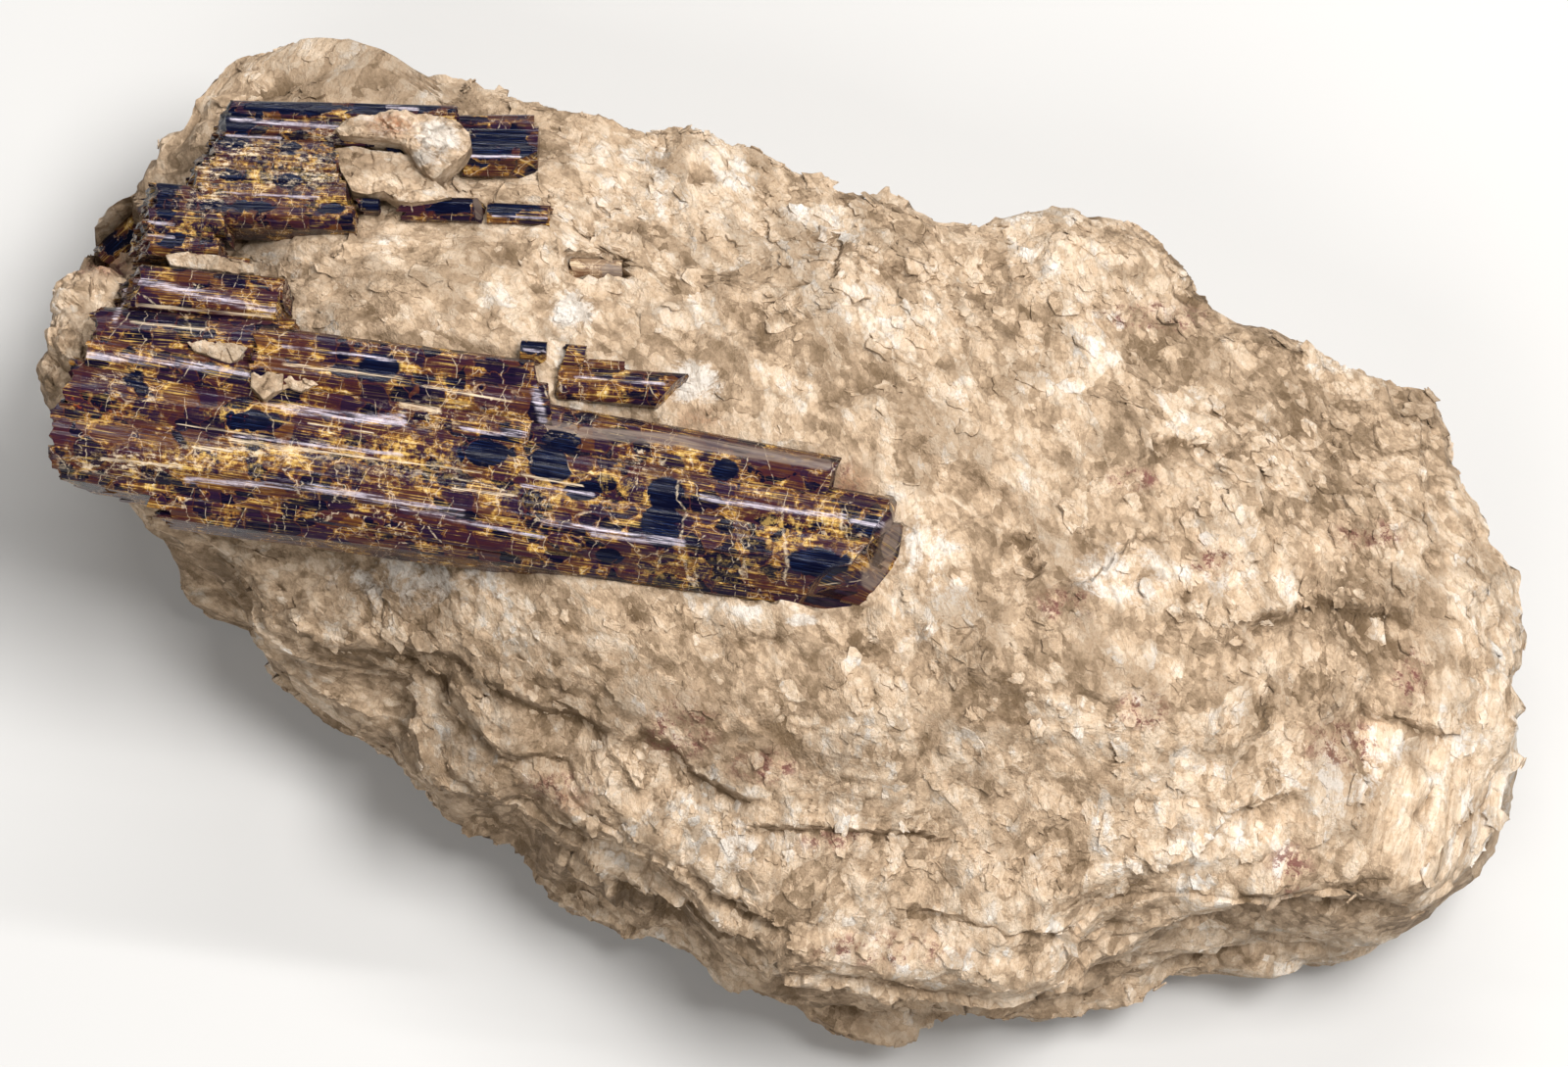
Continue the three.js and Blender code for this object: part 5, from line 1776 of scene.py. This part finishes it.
@dataclass
class Flakes:
    """Thin cleavage flakes that stand a little proud of the stone, each sunk along one edge."""

    count: int = 3200
    corners: int = 12
    length: tuple[float, float] = (0.6, 2.5)
    thickness: tuple[float, float] = (0.08, 0.2)
    tilt: float = 0.05
    shingle: float = 0.06
    seed: int = 4

    def build(self, stone: Object, crystals: list[Crystal], material: Material) -> None:
        """Scatters the flakes over the stone's top and walls.

        Each flake is a bent polygon with a raised middle: a top fan, a rim and a bottom fan.

        Args:
            stone: The stone piece.
            crystals: The crystals, which stay bare.
            material: The flakes' finish.
        """
        rng = np.random.default_rng(self.seed)
        vertices = stone.data.vertices
        points = np.empty(len(vertices) * 3, dtype=np.float32)
        normals = np.empty(len(vertices) * 3, dtype=np.float32)
        vertices.foreach_get("co", points)
        vertices.foreach_get("normal", normals)
        points = points.reshape(-1, 3).astype(float) / MM - np.array([*VIEW.shift, 0.0])
        normals = normals.reshape(-1, 3).astype(float)
        bare = (points[:, 2] > 1.2) & (normals[:, 2] > -0.35)
        for crystal in crystals:
            for prism in crystal.prisms:
                run, across, _ = prism.depth_inside(points)
                near = (run > -0.7) & (run < prism.axes()[4] + 0.5)
                near &= np.abs(across) < prism.size[0] / 2 + 0.5
                bare &= ~(near & (points[:, 2] > 22))
        chosen = rng.choice(np.flatnonzero(bare), self.count, replace=False)
        centre, normal = points[chosen], normals[chosen]
        size = self.length[0] + (self.length[1] - self.length[0]) * rng.random(self.count) ** 2.2
        size *= 0.45 + 0.55 * smooth_step(normal[:, 2], 0.3, 0.8)
        thick = rng.uniform(*self.thickness, self.count) * (0.6 + 0.4 * size / self.length[1])
        drift = 0.8 * smooth_noise(centre, 26)
        slope = np.stack([np.sin(drift + 0.9), -np.cos(drift + 0.9), np.zeros(self.count)], axis=1)
        normal = normal + rng.normal(0, self.tilt, (self.count, 3)) + self.shingle * slope
        normal /= np.linalg.norm(normal, axis=1, keepdims=True)
        turn = drift + rng.normal(0, 0.5, self.count)
        fibre = np.stack([np.cos(turn), np.sin(turn), np.zeros(self.count)], axis=1)
        long = fibre - normal * np.sum(fibre * normal, axis=1, keepdims=True)
        long /= np.linalg.norm(long, axis=1, keepdims=True)
        wide = np.cross(normal, long)
        angle = np.linspace(0, 2 * np.pi, self.corners, endpoint=False) + rng.uniform(0, 6, (self.count, 1))
        angle += rng.normal(0, 0.1, angle.shape)
        radius = 0.5 * size[:, None] * rng.uniform(0.55, 1.2, angle.shape)
        along = (1.25 * radius * np.cos(angle))[..., None] * long[:, None]
        aside = (0.75 * radius * np.sin(angle))[..., None] * wide[:, None]
        rim = centre[:, None] + along + aside
        lift = (0.02 + 0.3 * thick)[:, None, None] * normal[:, None]
        top = rim + lift + rng.normal(0, 0.03, rim.shape)
        deep = thick[:, None, None] * normal[:, None]
        bottom = centre[:, None] + (rim - centre[:, None]) * 1.04 + lift - deep
        crest = centre[:, None] + lift + 0.25 * deep
        base = centre[:, None] + lift - 1.2 * deep
        block = np.concatenate([top, bottom, crest, base], axis=1)
        per = block.shape[1]
        column = np.arange(self.corners)
        following = (column + 1) % self.corners
        crown = np.stack([column, following, np.full(self.corners, per - 2)], axis=1)
        belly = np.stack([following, column, np.full(self.corners, per - 1)], axis=1)
        belly += [self.corners, self.corners, 0]
        wall = np.stack([column, column + self.corners, following + self.corners, following], axis=1)
        start = (np.arange(self.count) * per)[:, None, None]
        triangles = (np.vstack([crown, belly])[None] + start).reshape(-1, 3)
        quads = (wall[None] + start).reshape(-1, 4)
        everything = block.reshape(-1, 3)
        piece = make_piece("stone_flakes", everything, [quads, triangles], 25.0)
        dress_stone(piece, everything)
        set_values(piece, "flake", np.repeat(rng.random(self.count), per))
        piece.data.materials.append(material)
        log.info("stone_flakes: %d flakes", self.count)


@dataclass(frozen=True)
class Chip:
    """A lump of stone that laps over the crystals or stands at the rock's edge, or a chip on a crystal.

    Its outline is in pixels, at its height. dome is the rise of its top as a share of its thickness,
    and crust the roughness of its top in millimetres. A rounded one bulges above and below.
    """

    name: str
    corners: tuple[Pixel, ...]
    height: float
    thickness: float
    dome: float = 0.12
    crust: float = 0.2
    rounded: bool = False
    columns: int = 160
    flat_rings: int = 26
    round_rings: int = 60

    def outline(self) -> Array:
        """The corners joined by straight lines and read at even steps."""
        corners = VIEW.place(*np.array(self.corners, dtype=float).T, self.height)
        closed, reach = closed_run(corners)
        round_way = np.linspace(0, reach[-1], self.columns, endpoint=False)
        return np.stack([np.interp(round_way, reach, closed[:, axis]) for axis in range(3)], axis=1)

    def rings(self) -> tuple[Array, Array]:
        """The rings' sizes as shares of the outline's, and their heights as shares of the thickness.

        A rounded lump's follow powers of the sine and cosine of the angle from its top. A chip's top
        falls to its edge along a power of the share, and its underside is flat.

        Returns:
            Sizes and heights, from the top down.
        """
        if self.rounded:
            bend = np.linspace(0.004, np.pi - 0.004, self.round_rings)
            cosine = np.cos(bend)
            height = np.sign(cosine) * np.abs(cosine) ** 0.6 * np.where(bend < np.pi / 2, self.dome, 1.0)
            return np.sin(bend) ** 0.5, height
        sizes = np.concatenate([np.linspace(0.02, 1, self.flat_rings), [1.0, 0.6, 0.02]])
        height = self.dome * np.sqrt(np.clip(1 - sizes**2.4, 0, 1)) + 0.03
        height[-3:] = -1
        return sizes, height

    def build(self, material: Material) -> None:
        """Makes the piece: rings from its middle out and back in below, broken by planes and noise.

        Args:
            material: Its finish.
        """
        outline = self.outline()
        middle = outline.mean(axis=0)
        sizes, height = self.rings()
        points = middle + (outline - middle) * sizes[:, None, None]
        points[..., 2] += (height * self.thickness)[:, None]
        points = points.reshape(-1, 3)
        if self.rounded:
            lumps = 0.16 * chipped_planes(points, 3.6)[0] + 0.05 * rough_noise(points, 1.2, 4)
            points = middle + (points - middle) * (1 + lumps[:, None])
        upper = points[:, 2] > self.height
        rough = 0.25 * chipped_planes(points * [1, 1, 0.2], 1.3)[0] + self.crust * rough_noise(points, 0.7, 3)
        points[:, 2] += rough * upper * min(1.0, self.thickness)
        vertices, faces = closed_tube(points, self.columns)
        area = np.cross(np.roll(outline, -1, axis=0) - middle, outline - middle)[:, 2].sum()
        if area < 0:
            faces = [part[:, ::-1] for part in faces]
        piece = make_piece(self.name, vertices, faces, 30.0)
        dress_stone(piece, vertices)
        piece.data.materials.append(material)
        log.info("%s: %d faces", self.name, sum(len(part) for part in faces))


CHIPS = [
    Chip(
        "left_boulder",
        (
            (64, 296), (57, 320), (55, 345), (57, 366), (72, 384), (100, 394), (135, 380), (150, 340),
            (138, 300), (108, 282), (80, 283),
        ),
        28.5, 8.0, dome=0.4, crust=0.3, rounded=True,
    ),
    Chip(
        "left_knob",
        (
            (58, 362), (48, 370), (40, 382), (43, 394), (52, 408), (66, 420), (90, 428), (125, 424),
            (150, 405), (140, 375), (105, 352), (75, 352),
        ),
        26.5, 6.0, dome=0.5, crust=0.25, rounded=True,
    ),
    Chip(
        "lap_lens",
        (
            (346, 136), (355, 128), (373, 121), (407, 117), (440, 120), (467, 127), (481, 137),
            (484, 149), (478, 161), (468, 171), (456, 180), (446, 186), (436, 180), (428, 170),
            (420, 158), (412, 150), (392, 147), (372, 145), (352, 143),
        ),
        35.5, 2.2, dome=0.22, crust=0.42,
    ),
    Chip(
        "lap_tongue",
        (
            (346, 155), (366, 152), (392, 158), (420, 161), (429, 173), (447, 188), (465, 204),
            (448, 208), (425, 210), (408, 207), (396, 199), (380, 201), (364, 199), (352, 178),
        ),
        34.7, 1.8, dome=0.06,
    ),
    Chip(
        "chip_left",
        (
            (203, 353), (222, 349), (258, 351), (264, 358), (254, 371), (246, 374), (230, 369),
            (210, 361),
        ),
        35.9, 0.9,
    ),
    Chip(
        "chip_right",
        (
            (268, 377), (290, 379), (318, 381), (338, 385), (341, 395), (330, 398), (318, 403),
            (305, 398), (290, 405), (281, 411), (268, 398),
        ),
        36.2, 1.0,
    ),
    Chip(
        "chip_back",
        (
            (178, 263), (200, 261), (232, 266), (266, 274), (268, 283), (240, 282), (205, 278),
            (184, 275),
        ),
        35.6, 1.2,
    ),
]


@dataclass
class Studio:
    """Plain pale floor, soft lights and the camera at the photograph's angle, in metres and watts."""

    floor_size: float = 3.0
    key: float = 6.6
    fill: float = 2.1
    rim: float = 2.4
    sky: float = 0.1
    light_distance: float = 0.7
    floor_colour: Colour = (0.5, 0.49, 0.475)

    def direction(self, azimuth: float, elevation: float) -> Vector:
        """The way from the specimen to an azimuth counted from the viewer's side, in degrees."""
        turn, rise = VIEW.turn + math.radians(azimuth), math.radians(elevation)
        return Vector((math.sin(turn) * math.cos(rise), -math.cos(turn) * math.cos(rise), math.sin(rise)))

    def add_light(
        self, name: str, azimuth: float, elevation: float, power: float, size: tuple[float, float]
    ) -> None:
        """An area light that faces the specimen. The fill puts no sheen on the crystals.

        Args:
            name: Name of the light.
            azimuth: Degrees round from the viewer, towards the right.
            elevation: Degrees up.
            power: Watts.
            size: Width and height in metres.
        """
        lamp = bpy.data.lights.new(name, "AREA")
        lamp.shape = "RECTANGLE"
        lamp.size, lamp.size_y = size
        lamp.energy = power
        light = bpy.data.objects.new(name, lamp)
        way = self.direction(azimuth, elevation)
        light.location = way * self.light_distance
        light.rotation_euler = way.to_track_quat("Z", "Y").to_euler()
        light.visible_glossy = name != "fill"
        bpy.context.scene.collection.objects.link(light)

    def add_floor(self) -> None:
        """The pale floor, under the specimen."""
        half = self.floor_size / 2
        mesh = bpy.data.meshes.new("floor")
        corners = [(-half, -half, 0), (half, -half, 0), (half, half, 0), (-half, half, 0)]
        mesh.from_pydata(corners, [], [(0, 1, 2, 3)])
        floor = bpy.data.objects.new("floor", mesh)
        material = bpy.data.materials.new("floor paint")
        material.use_nodes = True
        shader = material.node_tree.nodes["Principled BSDF"]
        shader.inputs["Base Color"].default_value = (*self.floor_colour, 1)
        shader.inputs["Roughness"].default_value = 0.8
        floor.data.materials.append(material)
        bpy.context.scene.collection.objects.link(floor)

    def add_camera(self) -> None:
        """A long lens along the photograph's line of sight, framed as wide as the picture at the subject."""
        data = bpy.data.cameras.new("camera")
        data.sensor_fit = "HORIZONTAL"
        data.sensor_width = VIEW.sensor
        data.lens = VIEW.lens
        distance = VIEW.picture[0] * VIEW.scale * MM * VIEW.lens / VIEW.sensor
        data.clip_start = 0.01
        camera = bpy.data.objects.new("camera", data)
        way = self.direction(0, math.degrees(VIEW.rise))
        target = Vector((VIEW.shift[0] * MM, VIEW.shift[1] * MM, VIEW.level * MM))
        right = Vector((math.cos(VIEW.turn), math.sin(VIEW.turn), 0))
        up = way.cross(right)
        turned = Matrix((right, up, way)).transposed().to_4x4()
        camera.matrix_world = Matrix.Translation(target + way * distance) @ turned
        bpy.context.scene.collection.objects.link(camera)
        bpy.context.scene.camera = camera

    def build(self) -> None:
        """Adds the camera, the floor, the lights and the even sky."""
        self.add_camera()
        self.add_floor()
        self.add_light("key", 85, 70, self.key, (0.3, 0.25))
        self.add_light("fill", -20, 48, self.fill, (0.4, 0.3))
        self.add_light("rim", 174, 56, self.rim, (0.6, 0.02))
        world = bpy.data.worlds.new("studio")
        world.use_nodes = True
        background = world.node_tree.nodes["Background"]
        background.inputs["Color"].default_value = (1, 1, 1, 1)
        background.inputs["Strength"].default_value = self.sky
        bpy.context.scene.world = world
        bpy.context.scene.view_settings.view_transform = "Standard"


def main() -> None:
    """Builds the studio, the finishes, the stone with its flakes and chips, and the crystals."""
    logging.basicConfig(level=logging.INFO, format="%(message)s")
    Studio().build()
    plates = cleavage_group()
    stone_finish = StoneFinish("flaky stone", plates).build()
    flake_finish = StoneFinish("loose flakes", plates, flake_shade=True).build()
    crystal_finish = CrystalFinish("striated crystal").build()
    pale_finish = CrystalFinish(
        "pale crystal",
        amber=(0.36, 0.25, 0.15),
        maroon=(0.26, 0.17, 0.1),
        violet=(0.2, 0.14, 0.1),
        ink=(0.14, 0.1, 0.08),
        gold=(0.5, 0.38, 0.24),
        roughness=0.38,
    ).build()
    crystals = [BIG, FAN, *SMALL_FORMS]
    stone = Stone().build(crystals, stone_finish)
    Flakes().build(stone, crystals, flake_finish)
    for chip in CHIPS:
        chip.build(stone_finish)
    for crystal in crystals:
        crystal.build(pale_finish if crystal.slot is Slot.PALE else crystal_finish)


if __name__ == "__main__":
    main()
